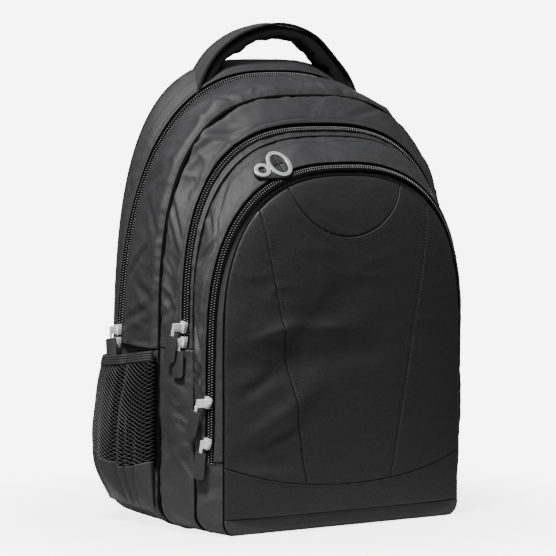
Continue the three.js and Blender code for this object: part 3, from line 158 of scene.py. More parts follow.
# Seeds of the noise in each place
SEEDS = dict(
    crevice=401, front=101, front_folds=105, front_small_folds=125, front_pucker=111,
    pocket=201, hem=211, grip=301, back_pad=401, base=411,
)


# Directions and lengths of lines

def unit(vectors):
    return vectors / np.maximum(np.linalg.norm(vectors, axis=-1, keepdims=True), 1e-9)


def directions(points):
    """The direction of a line at each of its points."""
    return unit(np.vstack([points[1:], points[-1:]]) - np.vstack([points[:1], points[:-1]]))


def way_along(points):
    """The length of a line up to each of its points."""
    return np.r_[0, np.cumsum(np.linalg.norm(np.diff(points, axis=0), axis=1))]


# Seam lines of the bag, in millimetres from its rear edge

def sizes_of(row):
    return dict(
        low=-row["low"] * BAG_DEPTH, top=-row["top"] * BAG_DEPTH,
        half=row["half"] * BAG_WIDTH, apex=row["apex"] * BAG_HEIGHT,
        shoulder=SHOULDER * BAG_HEIGHT, round=row["round"],
        foot=row["foot"] * BAG_WIDTH, lift=row["lift"] * BAG_HEIGHT,
    )


seam = {name: sizes_of(row) for name, row in SEAMS.items()}


def depth_at(s, z):
    rise = np.clip(z / s["apex"], 0, 1)
    return s["low"] + (s["top"] - s["low"]) * rise ** 2


def half_width_at(s, z):
    z = np.asarray(z, float)
    low = 1 - np.clip(z, 0, s["lift"]) / s["lift"]
    rise = np.clip((z - s["shoulder"]) / (s["apex"] - s["shoulder"]), 0, 1)
    foot = s["foot"] * (1 - np.sqrt(1 - low ** 2))
    return (s["half"] - foot) * (1 - rise ** s["round"]) ** (1 / s["round"])


def arch(s, z_from, shares):
    """A seam over the bag at shares of its way from the left foot to the right one, as x, y, z."""
    steps = SIDE_STEPS + SHOULDER_STEPS
    i = (1 - np.abs(2 * shares - 1)) * steps
    angle = np.clip((i - SIDE_STEPS) / SHOULDER_STEPS, 0, 1) * math.pi / 2
    x = s["half"] * np.clip(np.cos(angle), 0, 1) ** (2 / s["round"])
    side = z_from + (s["shoulder"] - z_from) * np.clip(i / SIDE_STEPS, 0, 1)
    z = side + (s["apex"] - s["shoulder"]) * np.clip(np.sin(angle), 0, 1) ** (2 / s["round"])
    return np.stack([np.where(shares < 0.5, -x, x), depth_at(s, z), z], 1)


def upright(s, z_to, side, shares):
    """A seam up one side, from the floor on the left side and down to it on the right one."""
    steps = FOOT_STEPS + WALL_STEPS
    i = (shares if side == LEFT else 1 - shares) * steps
    angle = np.clip(i / FOOT_STEPS, 0, 1) * math.pi / 2
    x = s["half"] - s["foot"] * (1 - np.sin(angle))
    wall = np.clip((i - FOOT_STEPS) / WALL_STEPS, 0, 1)
    z = s["lift"] * (1 - np.cos(angle)) + (z_to - SEAM - s["lift"]) * wall
    return np.stack([side * x, depth_at(s, z), z], 1)


def outwards(points):
    """The direction away from the bag at each point of a line over it, with no part to the front or back."""
    way = directions(points)
    return unit(np.stack([-way[:, 2], 0 * way[:, 0], way[:, 0]], 1))


def even_shares(line, count):
    """Shares that step evenly along a line's length."""
    fine = np.linspace(0, 1, 4001)
    run = way_along(line(fine))
    return np.interp(np.linspace(0, run[-1], count), run, fine)


def moved_back(points, distance):
    return points + np.array([0, distance, 0])


def toward(points, other, distance):
    return points + unit(other - points) * distance


def joint_lines(line_of):
    """The seams that two bands share, for a way of drawing a seam's line."""
    return dict(
        back=moved_back(line_of(seam["back"]), -PAD_EDGE - SEAM / 2),
        chamber=line_of(seam["chamber"]),
        main=line_of(seam["main"]),
        front=moved_back(line_of(seam["front"]), CLOTH + SEAM / 2),
    )


# Smooth noise and relief

NOISE_CELLS = 64


def smooth_noise(u, v, seed):
    """Noise from -1 to 1 with one bump a unit, the same on every run."""
    table = np.random.RandomState(seed).uniform(-1, 1, (NOISE_CELLS, NOISE_CELLS))
    i, j = np.floor(u).astype(int), np.floor(v).astype(int)
    a, b = u - i, v - j
    a, b = a * a * (3 - 2 * a), b * b * (3 - 2 * b)
    corner = lambda di, dj: table[(i + di) % NOISE_CELLS, (j + dj) % NOISE_CELLS]
    low = corner(0, 0) * (1 - a) + corner(1, 0) * a
    high = corner(0, 1) * (1 - a) + corner(1, 1) * a
    return low * (1 - b) + high * b


def edge_dip(distance, deep, reach):
    """How far cloth turns down towards a seam at a distance from it."""
    return deep * np.clip(1 - distance / reach, 0, 1) ** 2


ZIP_TILT = 0.58  # how far a zip's face turns from straight outwards to the front, in radians


def hem(gap, run, side):
    """A folded hem beside a zip: a roll, a stitched groove, and a rise to the tilted tape's edge.

    It rises out of the bag at side 1 and sinks into it at -1, less at the zip's two ends."""
    roll = np.exp(-(((gap - 1.9) / 1.2) ** 2))
    groove = 0.9 * np.exp(-((gap - 4.5) ** 2))
    ends = np.clip(np.minimum(run, run.max() - run) / 25, 0.2, 1)
    return roll - groove + side * ZIP_WIDTH / 2 * math.sin(ZIP_TILT) * ends * np.exp(-gap / 7)


def crevice(gap, run):
    """Two full chambers pressed together: a steep gathered crack between soft rolls."""
    roll = 2.2 * np.exp(-(((gap - 10) / 6) ** 2))
    crack = 11 * np.exp(-((gap / 4) ** 1.4))
    gathers = 1.8 * smooth_noise(run / 13, gap / 30, SEEDS["crevice"])
    gathers = gathers + 0.9 * smooth_noise(run / 5, gap / 25, SEEDS["crevice"] + 1)
    return roll - crack + gathers * np.clip(gap / 3, 0, 1) * np.exp(-gap / 12)


# How cloth ends at each kind of edge: turned down into a seam, deep down where two full chambers
# meet, or in a hem behind or ahead of a zip
EDGES = {
    "seam": lambda gap, run: -edge_dip(gap, 2.0, 5),
    "deep": crevice,
    "behind": lambda gap, run: hem(gap, run, 1),
    "ahead": lambda gap, run: hem(gap, run, -1),
}
HEM_OVERLAP = 1.2  # how far a hem lies over the zip's tape
FLOOR_GAP = 0.3  # how near the floor a side may come


def folds(u, v, seed, long=48, wide=17, lean=0.6, height=1.0):
    """Soft ridges of slack cloth, long one way and narrow the other, leaning across the band."""
    bend = 9 * smooth_noise(u / 40, v / 40, seed)
    along = u * math.cos(lean) + v * math.sin(lean)
    across = v * math.cos(lean) - u * math.sin(lean) + bend
    ridge = 1 - 2 * np.abs(smooth_noise(across / wide, along / long, seed + 1)) ** 0.8
    where = np.clip(0.35 + 0.9 * smooth_noise(u / 60, v / 60, seed + 2), 0, 1)
    return height * ridge * where


def pucker(u, distance, seed, height=0.8, reach=9):
    """Small gathers that run away from a seam, by the place along it and the distance from it."""
    wave = smooth_noise(u / 7, distance / 40, seed) + 0.6 * smooth_noise(u / 3.4, distance / 30, seed + 1)
    loose = 0.5 + 0.5 * smooth_noise(u / 60, distance * 0, seed + 2)
    return height * wave * loose * np.exp(-distance / reach)


def creased(u, v, length, width, rows):
    """How deep the creases of a table press in: each a groove between two low ridges."""
    total = 0
    for row in rows:
        across = v / width - row["across"]
        middle = row["along"] * length + row["lean"] * length * across / row["long"]
        a = (u - middle) / row["wide"]
        fade = np.exp(-(across / row["long"]) ** 4 * 3)
        ridges = 0.45 * np.exp(-((np.abs(a) - 2.2) ** 2))
        total = total + row["depth"] * fade * (np.exp(-a * a) - ridges)
    return total


def dented(along, across, rows):
    """How deep the round dents of a table press in."""
    total = 0
    for row in rows:
        a = (along - row["along"]) / row["span_along"]
        b = (across - row["across"]) / row["span_across"]
        total = total + row["depth"] * np.exp(-a * a - b * b)
    return total


# Meshes

def in_frame(points):
    """Millimetres from the bag's rear edge to metres in the frame."""
    return (np.asarray(points, float).reshape(-1, 3) + [0, BACK_EDGE, 0]) * MM


def new_object(name, mesh, finish):
    made = bpy.data.objects.new(name, mesh)
    bpy.context.scene.collection.objects.link(made)
    mesh.materials.clear()
    mesh.materials.append(finish)
    return made


def smooth(mesh):
    mesh.polygons.foreach_set("use_smooth", [True] * len(mesh.polygons))


def grid_mesh(name, grid, u, v, flip=False, closed=False):
    """A sheet of quads through a grid of points, with its own lengths u and v as a UV map in metres.
    closed joins its last column to its first."""
    rows, columns = grid.shape[:2]
    index = np.arange(rows * columns).reshape(rows, columns)
    if closed:
        index = np.hstack([index, index[:, :1]])
        u = np.hstack([u, 2 * u[:, -1:] - u[:, -2:-1]])
        v = np.hstack([v, v[:, :1]])
    corners = [np.s_[:-1, :-1], np.s_[1:, :-1], np.s_[1:, 1:], np.s_[:-1, 1:]]
    if flip:
        corners.reverse()
    faces = np.stack([index[corner] for corner in corners], -1).reshape(-1, 4)
    marks = [np.stack([u[corner], v[corner]], -1) for corner in corners]
    mesh = bpy.data.meshes.new(name)
    mesh.from_pydata(in_frame(grid).tolist(), [], faces.tolist())
    chart = np.stack(marks, -2).reshape(-1, 2) * MM
    mesh.uv_layers.new(name="Cloth").data.foreach_set("uv", chart.ravel())
    smooth(mesh)
    return mesh


def lengths(grid):
    """The way along and across a grid at each of its points, in millimetres."""
    along = np.linalg.norm(np.diff(grid, axis=1), axis=2)
    across = np.linalg.norm(np.diff(grid, axis=0), axis=2)
    middle = np.r_[0, np.cumsum(along[len(along) // 2])]
    u = np.broadcast_to(middle, grid.shape[:2])
    v = np.vstack([np.zeros((1, grid.shape[1])), np.cumsum(across, axis=0)])
    return u.copy(), v


def solidify(piece, thick):
    """Gives a sheet a wall on its inner side."""
    wall = piece.modifiers.new("Wall", "SOLIDIFY")
    wall.thickness = thick * MM
    wall.offset = -1
    return piece


def ride(piece, slot, *nodes):
    """Fixes a piece to the bag and hides the CAD nodes it stands for; slot is not used."""
    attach(piece, "root")
    if nodes:
        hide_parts(*nodes)
    return piece


def merged_copy(node):
    """A CAD node's mesh with its loose triangles merged into plain faces."""
    made = bmesh.new()
    made.from_mesh(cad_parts[node].data)
    bmesh.ops.remove_doubles(made, verts=made.verts, dist=1e-6)
    bmesh.ops.dissolve_limit(made, angle_limit=math.radians(1), verts=made.verts, edges=made.edges)
    mesh = bpy.data.meshes.new(node)
    made.to_mesh(mesh)
    made.free()
    return mesh


def box_chart(mesh):
    """A UV map in metres that looks at each face along the axis it faces most."""
    layer = mesh.uv_layers.new(name="Cloth")
    for face in mesh.polygons:
        away = max(range(3), key=lambda k: abs(face.normal[k]))
        a, b = [k for k in range(3) if k != away]
        for loop in face.loop_indices:
            place = mesh.vertices[mesh.loops[loop].vertex_index].co
            layer.data[loop].uv = (place[a], place[b])


# Shader maths

class Value:
    """A socket's output in a material, for arithmetic on it."""

    def __init__(self, finish, socket):
        self.finish, self.socket = finish, socket

    def _with(self, operation, other, turned=False):
        inputs = [other, self] if turned else [self, other]
        return self.finish.node("Math", {"operation": operation}, dict(enumerate(inputs)))

    def __add__(self, other): return self._with("ADD", other)
    def __radd__(self, other): return self._with("ADD", other, True)
    def __sub__(self, other): return self._with("SUBTRACT", other)
    def __rsub__(self, other): return self._with("SUBTRACT", other, True)
    def __mul__(self, other): return self._with("MULTIPLY", other)
    def __rmul__(self, other): return self._with("MULTIPLY", other, True)

    def sine(self):
        return self.finish.node("Math", {"operation": "SINE"}, {0: self})

    def size(self):
        return self.finish.node("Math", {"operation": "ABSOLUTE"}, {0: self})

    def within(self):
        """The value held between 0 and 1."""
        return self.finish.node("Math", {"operation": "ADD", "use_clamp": True}, {0: self, 1: 0.0})


class Nodes:
    """A shader's tree, with a method that makes any node in it."""

    def __init__(self, tree):
        self.tree = tree

    def feed(self, socket, value):
        """Links a value to a socket, or sets the socket to a constant."""
        if isinstance(value, Value):
            self.tree.links.new(value.socket, socket)
        else:
            socket.default_value = value

    def node(self, kind, settings=None, inputs=None, output=0):
        made = self.tree.nodes.new("ShaderNode" + kind)
        for key, value in (settings or {}).items():
            setattr(made, key, value)
        for key, value in (inputs or {}).items():
            self.feed(made.inputs[key], value)
        return Value(self, made.outputs[output])

    def smooth_step(self, value, low, high):
        """From 0 at low to 1 at high, eased at both ends."""
        return self.node("MapRange", {"interpolation_type": "SMOOTHSTEP"}, {0: value, 1: low, 2: high})


class Finish(Nodes):
    """One material: its shader, and the patterns that feed it."""

    def __init__(self, name, colour, roughness, **constants):
        self.material = bpy.data.materials.new(name)
        self.material.use_nodes = True
        super().__init__(self.material.node_tree)
        self.shader = self.tree.nodes["Principled BSDF"]
        self.set("Base Color", (*colour, 1))
        self.set("Roughness", roughness)
        for socket, value in constants.items():
            self.set(socket.replace("_", " "), value)

    def set(self, socket, value):
        self.feed(self.shader.inputs[socket], value)

    def place(self):
        return self.node("TexCoord", output="Object")

    def chart(self):
        """The piece's own UV map: its lengths along and across, in millimetres."""
        uv = self.node("UVMap", {"uv_map": "Cloth"})
        return [self.node("SeparateXYZ", None, {0: uv}, axis) * 1000 for axis in (0, 1)]

    def noise(self, scale, detail=2):
        return self.node("TexNoise", None, {"Vector": self.place(), "Scale": scale, "Detail": detail}, "Fac")

    def mix(self, factor, first, second):
        """Between two colours, each a value or three numbers."""
        first, second = [c if isinstance(c, Value) else (*c, 1) for c in (first, second)]
        return self.node("Mix", {"data_type": "RGBA"}, {0: factor, 6: first, 7: second}, 2)

    def bump(self, height, distance):
        """Relief in the shading only, distance millimetres deep."""
        normal = self.node("Bump", None, {"Height": height, "Distance": distance * MM, "Strength": 1.0})
        self.set("Normal", normal)
        return self


def shade(colour, share):
    return tuple(share * c for c in colour)


def woven(name, colour, thread=0.55, roughness=0.55, shine=0.3, relief=0.1, mottle=0.16):
    """Coated nylon: fine plain weave, a little mottled, lighter with wear where it stands proud, and darker
    in its creases and hollows as painted shade.
    """
    f = Finish(name, colour, roughness, Specular_IOR_Level=shine)
    u, v = f.chart()
    turn = 2 * math.pi / thread
    warp, weft = (u * turn).sine(), (v * turn).sine()
    cross = (u * (turn / 2)).sine() * (v * (turn / 2)).sine()
    weave = warp * 0.35 + weft * 0.35 + cross * 0.3
    cloud = f.noise(14, 3)
    grain = f.noise(560, 3)
    # Pointiness: edges that stand out are painted lighter, as wear, and creases and hollows darker, as
    # painted shade
    lighter_edges_and_hollow_shade = f.node("NewGeometry", output="Pointiness")
    tone = (cloud - 0.5) * mottle + (grain - 0.5) * 1.3 + weave * 0.06 + (lighter_edges_and_hollow_shade - 0.5) * 1.0 + 0.5
    f.set("Base Color", f.mix(tone.within(), shade(colour, 0.55), shade(colour, 1.5)))
    f.set("Roughness", (roughness + (cloud - 0.5) * 0.14 - weave * 0.03))
    return f.bump(weave * 0.6 + grain * 0.8, relief).material


CLOTH_COLOUR = (0.019, 0.019, 0.02)
# The front panel is of the shell's cloth; its darker colour is painted shade, for the lesser light that
# falls on the front
FRONT_SHADED_COLOUR = (0.013, 0.013, 0.0135)


def net_thread():
    f = Finish("net_thread", (0.02, 0.02, 0.0205), 0.6, Specular_IOR_Level=0.3)
    cloud = f.noise(900, 2)
    f.set("Base Color", f.mix(cloud, (0.01, 0.01, 0.0104), (0.025, 0.025, 0.0257)))
    return f.bump(cloud, 0.1).material


def tape_cloth():
    """Zip tape: fine ribs along its length."""
    f = Finish("zip_tape", (0.002, 0.002, 0.002), 0.8, Specular_IOR_Level=0.05)
    v = f.chart()[1]
    ribs = (v * (2 * math.pi / 0.7)).sine()
    grain = f.noise(600)
    f.set("Base Color", f.mix((ribs * 0.3 + grain).within(), (0.001, 0.001, 0.001), (0.003, 0.003, 0.003)))
    return f.bump(ribs * 0.7 + grain, 0.12).material


def coil_plastic():
    f = Finish("coil", (0.09, 0.09, 0.0915), 0.32)
    cloud = f.noise(300)
    f.set("Base Color", f.mix(cloud, (0.055, 0.055, 0.056), (0.125, 0.125, 0.127)))
    f.set("Roughness", 0.26 + cloud * 0.14)
    return f.material


def ribbed_webbing(name="webbing", colour=(0.01, 0.01, 0.0105), rib=1.5, along=True):
    """Woven band: ribs across it, with a fine twill in each."""
    f = Finish(name, colour, 0.62, Specular_IOR_Level=0.3)
    u, v = f.chart()
    ribs = ((u if along else v) * (2 * math.pi / rib)).sine()
    twill = ((u + v) * (2 * math.pi / 0.8)).sine()
    grain = f.noise(500)
    tone = ribs * 0.28 + twill * 0.12 + grain * 0.5 + 0.22
    f.set("Base Color", f.mix(tone.within(), shade(colour, 0.45), shade(colour, 1.5)))
    return f.bump(ribs * 0.6 + twill * 0.2 + grain * 0.3, 0.28).material


def air_mesh():
    """Padded spacer mesh: rows of small holes, each row set half a step on, the holes painted near black as
    painted shade down in them.
    """
    f = Finish("air_mesh", (0.009, 0.009, 0.0095), 0.85, Specular_IOR_Level=0.25)
    u, v = f.chart()
    step = 2 * math.pi / 2.6
    holes = (u * step).sine() * (v * step).sine()
    # the holes painted near black: painted shade down in them
    hole_shade = ((holes.size() - 0.35) * 3).within()
    grain = f.noise(500)
    body = f.mix(grain, (0.007, 0.007, 0.007), (0.018, 0.018, 0.019))
    f.set("Base Color", f.mix(hole_shade, body, (0.002, 0.002, 0.002)))
    return f.bump((1 - hole_shade) * 0.8 + grain * 0.2, 0.5).material


def moulded(name, colour, roughness, relief=0.05, scale=350, **constants):
    """Moulded plastic or rubber: a fine grained skin, lighter at its edges, and darker in its hollows as
    painted shade.
    """
    f = Finish(name, colour, roughness, **constants)
    grain = f.noise(scale, 3)
    # Pointiness: edges painted lighter, and hollows painted darker as painted shade
    lighter_edges_and_hollow_shade = f.node("NewGeometry", output="Pointiness")
    tone = (grain - 0.5) * 0.5 + (lighter_edges_and_hollow_shade - 0.5) * 2 + 0.5
    f.set("Base Color", f.mix(tone.within(), shade(colour, 0.7), shade(colour, 1.35)))
    f.set("Roughness", roughness + (grain - 0.5) * 0.2)
    return f.bump(grain, relief).material


def nickel_plate():
    f = Finish("nickel", (0.95, 0.94, 0.92), 0.2, Metallic=0.6)
    cloud = f.noise(260, 3)
    f.set("Base Color", f.mix(cloud, (0.8, 0.8, 0.79), (1.0, 0.99, 0.97)))
    f.set("Roughness", 0.12 + cloud * 0.22)
    return f.bump(cloud, 0.02).material


def thread():
    f = Finish("thread", (0.013, 0.013, 0.0133), 0.6, Specular_IOR_Level=0.3)
    twist = f.noise(1500)
    f.set("Base Color", f.mix(twist, (0.007, 0.007, 0.0073), (0.02, 0.02, 0.0205)))
    return f.material


FINISH = dict(
    shell=woven("shell_cloth", CLOTH_COLOUR),
    front=woven("front_cloth", FRONT_SHADED_COLOUR, roughness=0.5, shine=0.22, relief=0.07, mottle=0.1),
    grip=woven("grip_cloth", shade(FRONT_SHADED_COLOUR, 0.45), thread=0.9, roughness=0.75, shine=0.12, relief=0.2),
    net=net_thread(),
    tape=tape_cloth(),
    coil=coil_plastic(),
    webbing=ribbed_webbing(),
    handle=ribbed_webbing("handle_webbing", (0.03, 0.03, 0.031), 1.1),
    strap_web=ribbed_webbing("strap_webbing", along=False),
    hem=ribbed_webbing("hem_elastic", (0.014, 0.014, 0.0145), 2.4, along=False),
    pad=air_mesh(),
    rubber=moulded("rubber", (0.018, 0.018, 0.0185), 0.5, Specular_IOR_Level=0.4),
    patch=moulded("patch_rubber", (0.01, 0.01, 0.0105), 0.42, Specular_IOR_Level=0.4),
    plastic=moulded("plastic", (0.008, 0.008, 0.009), 0.38, Specular_IOR_Level=0.4),
    silver=moulded("silver_trim", (0.5, 0.505, 0.51), 0.3, 0.02, Metallic=0.75),
    nickel=nickel_plate(),
    thread=thread(),
)


# Cloth bands between the seams

def edge_rows(count):
    """Shares across a band, closer together near its two seams."""
    even = np.linspace(0, 1, count)
    return 0.5 * even + 0.5 * (1 - np.cos(math.pi * even)) / 2


def band_grid(rear, front, count, bulge, relief, edges, side):
    """Points over a cloth band between two lines, with its edges turned in and relief on top."""
    reach = [-HEM_OVERLAP if edge in ("behind", "ahead") else SEAM / 2 for edge in edges]
    a, b = toward(rear, front, reach[0]), toward(front, rear, reach[1])
    out_a, out_b = outwards(rear), outwards(front)
    shares = edge_rows(count)[:, None, None]
    flat = a + (b - a) * shares
    out = unit(out_a + (out_b - out_a) * shares)
    u, v = lengths(flat)
    width = v[-1]
    fade = np.clip(flat[:, :, 2] / FADE_HEIGHT, 0, 1) if side else 1
    lift = np.sin(math.pi * shares[:, :, 0]) ** 0.8 * fade * bulge
    lift = lift + EDGES[edges[0]](v, u) + EDGES[edges[1]](width - v, u)
    lift = lift + relief(u, v, width, shares[:, :, 0]) * fade
    points = flat + out * lift[:, :, None]
    points[..., 2] = np.maximum(points[..., 2], FLOOR_GAP)
    return points, u, v


def band_relief(kind, seed, soft, fold, lean=0.6):
    """Dents, creases, slack and gathers of one band of cloth, as a lift at each of its points.

    soft and fold are the heights of its slack and of its folds, and lean is the way the folds run."""
    def relief(u, v, width, shares):
        along = u / u.max()
        gap = np.minimum(v, width - v)
        loose = np.clip(np.sin(math.pi * shares), 0, 1) ** 0.7
        slack = smooth_noise(u / 55, v / 38, seed) + 0.5 * smooth_noise(u / 24, v / 30 + u / 60, seed + 1)
        drop = dented(along_share(along), shares, DENTS.get(kind, [])) * np.sin(math.pi * shares)
        drop = drop + creased(u, v, u.max(), width, CREASES.get(kind, [])) * loose
        ridges = folds(u, v, seed + 10, lean=lean) + 0.5 * folds(u, v, seed + 14, 26, 9, -lean)
        gathers = pucker(u, v, seed + 3) + pucker(u, width - v, seed + 7)
        return (soft * slack + fold * ridges) * loose - drop + gathers * np.clip(gap / 2, 0, 1)
    return relief


def along_share(run):
    """From an even share of an arch's length to the share that the dents are placed by."""
    fine = even_shares(lambda t: arch(seam["main"], MAIN_ZIP_END, t), 400)
    return np.interp(run, np.linspace(0, 1, 400), fine)


# Each band's points, their distances from its rear seam, and the way out of the bag, for its stitches
BANDS = {}


def add_band(name, rear, front, rows, bulge, relief, edges, side=False):
    grid, u, v = band_grid(rear, front, rows, bulge, relief, edges, side)
    BANDS[name] = (grid, v, outwards((rear + front) / 2))
    mesh = grid_mesh(name + "_cloth", grid, u, v)
    piece = solidify(new_object(name + "_cloth", mesh, FINISH["shell"]), CLOTH_WALL)
    return ride(piece, "shell_cloth", name)


def over_top(z_from, count):
    shares = even_shares(lambda t: arch(seam["main_zip"], z_from, t), count)
    return lambda s: arch(s, z_from, shares)


def zip_lines(rear, middle, front):
    half = ZIP_WIDTH / 2
    return dict(middle=middle, rear=toward(middle, rear, half), front=toward(middle, front, half))


ARCH_COUNT = 400  # points along each band that runs over the bag
SIDE_COUNT = 130  # and along each one that runs up a side
SIDE_ROWS = 32

# Where each zip ends over the floor, its own line and the seams behind and in front of it
ZIPS = {
    "laptop": (LAPTOP_ZIP_END, "laptop_zip", "back", "chamber"),
    "main": (MAIN_ZIP_END, "main_zip", "chamber", "main"),
    "front": (FRONT_ZIP_END, "front_zip", "main", "front"),
}


def zip_of(kind):
    """The lines of one zip, with the seams on both sides of it."""
    z_from, middle, rear, front = ZIPS[kind]
    line_of = over_top(z_from, ARCH_COUNT)
    lines = joint_lines(line_of)
    return zip_lines(lines[rear], line_of(seam[middle]), lines[front]), lines[rear], lines[front]


# The bands over the bag, each behind or in front of its zip
ARCH_BANDS = [
    dict(name="rear_gusset", zip="laptop", behind=True, edge="seam", rows=20, bulge=2,
         relief=band_relief("rear", 11, 1.0, 0.9)),
    dict(name="laptop_gusset", zip="laptop", behind=False, edge="deep", rows=46, bulge=LAPTOP_BULGE,
         relief=band_relief("laptop", 21, 2.2, 2.6, 0.9)),
    dict(name="main_gusset", zip="main", behind=True, edge="deep", rows=38, bulge=MAIN_BULGE,
         relief=band_relief("main", 31, 2.4, 3.0, 0.7)),
    dict(name="main_edge_strip", zip="main", behind=False, edge="seam", rows=12, bulge=1.2,
         relief=band_relief("strip", 41, 0.5, 0.3)),
    dict(name="organiser_gusset", zip="front", behind=True, edge="seam", rows=38, bulge=ORGANISER_BULGE,
         relief=band_relief("organiser", 51, 1.9, 2.6, 0.8)),
    dict(name="front_edge_strip", zip="front", behind=False, edge="seam", rows=12, bulge=1.2,
         relief=band_relief("strip", 61, 0.5, 0.3)),
]

SIDE_BANDS = [
    dict(name="laptop_side", rear="back", front="chamber", top=LAPTOP_ZIP_END, bulge=3, seed=71,
         edges=("seam", "deep")),
    dict(name="main_side", rear="chamber", front="main", top=MAIN_ZIP_END, bulge=MAIN_BULGE, seed=81,
         edges=("deep", "seam")),
    dict(name="organiser_side", rear="main", front="front", top=FRONT_ZIP_END, bulge=2, seed=91,
         edges=("seam", "seam")),
]


def add_bands():
    for row in ARCH_BANDS:
        lines, rear, front = zip_of(row["zip"])
        ends, edges = (rear, lines["rear"]), (row["edge"], "behind")
        if not row["behind"]:
            ends, edges = (lines["front"], front), ("ahead", row["edge"])
        add_band(row["name"], *ends, row["rows"], row["bulge"], row["relief"], edges)


def add_sides():
    shares = np.linspace(0, 1, SIDE_COUNT)
    for row in SIDE_BANDS:
        for side, word in SIDES:
            lines = joint_lines(lambda s: upright(s, row["top"], side, shares))
            relief = band_relief("side", row["seed"] + side, 3.2, 4.4, 0.9)
            rear, front = lines[row["rear"]], lines[row["front"]]
            name = f"{row['name']}_{word}"
            add_band(name, rear, front, SIDE_ROWS, row["bulge"], relief, row["edges"], True)


# The front panel

def fullness(s, x, z, z_from, power):
    """How far a stuffed panel stands out, from 0 at its edges to 1 in its middle."""
    across = np.clip(np.abs(x) / np.maximum(half_width_at(s, z), 1), 0, 1)
    middle = (s["apex"] + z_from) / 2
    up = np.clip(np.abs(z - middle) / (s["apex"] - middle), 0, 1)
    return (1 - across ** power) * (1 - up ** (power + 2))


# Dents and soft ridges of the stuffed front: place and span as shares of its half width and height,
# turn in radians, depth in millimetres, less than 0 for a ridge
FRONT_DENTS = [
    dict(x=-0.55, z=0.48, span_x=0.3, span_z=0.05, turn=0.0, depth=3.0),
    dict(x=0.1, z=0.5, span_x=0.5, span_z=0.04, turn=0.0, depth=2.1),
    dict(x=-0.6, z=0.2, span_x=0.25, span_z=0.05, turn=0.0, depth=3.0),
    dict(x=-0.62, z=0.57, span_x=0.2, span_z=0.018, turn=0.25, depth=-2.0),
    dict(x=-0.2, z=0.575, span_x=0.2, span_z=0.014, turn=-0.05, depth=-1.2),
    dict(x=-0.75, z=0.42, span_x=0.16, span_z=0.02, turn=0.5, depth=1.8),
    dict(x=-0.55, z=0.34, span_x=0.3, span_z=0.03, turn=0.55, depth=-2.0),
    dict(x=-0.6, z=0.27, span_x=0.3, span_z=0.025, turn=0.35, depth=1.5),
    dict(x=-0.72, z=0.17, span_x=0.2, span_z=0.02, turn=-0.1, depth=-1.6),
    dict(x=0.55, z=0.55, span_x=0.3, span_z=0.03, turn=-0.3, depth=1.4),
    dict(x=0.6, z=0.3, span_x=0.3, span_z=0.03, turn=-0.5, depth=1.6),
    dict(x=0.0, z=0.62, span_x=0.35, span_z=0.03, turn=0.1, depth=0.9),
]


def front_depth(x, z):
    """Where the front panel's face lies from back to front."""
    s = seam["front"]
    crown = FRONT_CROWN * fullness(s, x, z, 0, 4)
    hollow = 0
    for row in FRONT_DENTS:
        dx, dz = x - row["x"] * s["half"], z - row["z"] * s["apex"]
        a = (dx * math.cos(row["turn"]) + dz * math.sin(row["turn"])) / (row["span_x"] * s["half"])
        b = (dz * math.cos(row["turn"]) - dx * math.sin(row["turn"])) / (row["span_z"] * s["apex"])
        hollow = hollow + row["depth"] * np.exp(-a * a - b * b)
    slack = 1.5 * smooth_noise(x / 50 + 9, z / 42, SEEDS["front"])
    slack = slack + 0.6 * smooth_noise(x / 22 + 3, z / 20, SEEDS["front"] + 1)
    slack = slack + folds(x + 300, z, SEEDS["front_folds"], 70, 22, 0.3, 2.2)
    slack = slack + folds(x + 340, z, SEEDS["front_small_folds"], 40, 12, -0.5, 1.0)
    calm = 0.55 + 0.45 * np.clip(-x / 60, -1, 1)  # the right half is smoother
    relief = (2.2 * hollow - slack) * calm
    return depth_at(s, z) - crown + relief * np.clip(crown / FRONT_CROWN, 0, 1) ** 0.5


def boot_height(x):
    return BOOT_HEIGHT + BOOT_RISE * (np.abs(x) / seam["front"]["half"]) ** BOOT_CURVE


def taper_half(z):
    return TAPER_FOOT + TAPER_SLOPE * (z - boot_height(TAPER_FOOT))


def front_edge(z):
    return half_width_at(seam["front"], z) - SEAM


def front_top(x):
    """Height of the front panel's upper edge at a distance from the middle."""
    z = np.linspace(seam["front"]["shoulder"], seam["front"]["apex"], 2000)
    return np.interp(-np.abs(x), -front_edge(z), z) - SEAM


def yoke_line(x):
    """Height of the half-round seam under the yoke."""
    across = np.clip(np.abs(x), 0, YOKE_RADIUS - 1)
    return seam["front"]["apex"] + YOKE_ABOVE - np.sqrt(YOKE_RADIUS ** 2 - across ** 2)


def meeting(first, second, low, high):
    """Where two functions cross between two values."""
    values = np.linspace(low, high, 4000)
    return values[np.argmin(np.abs(first(values) - second(values)))]


TAPER_TOP = meeting(taper_half, front_edge, 200, 354)
YOKE_HALF = meeting(yoke_line, front_top, 30, YOKE_RADIUS - 1)
FRONT_FOOT = BASE_STRIP + SEAM
BOOT_END = float(front_edge(boot_height(seam["front"]["half"])))  # half width of the boot's upper edge
NEAR_MIDDLE = 60  # within this the seam's room shrinks with the distance from the middle


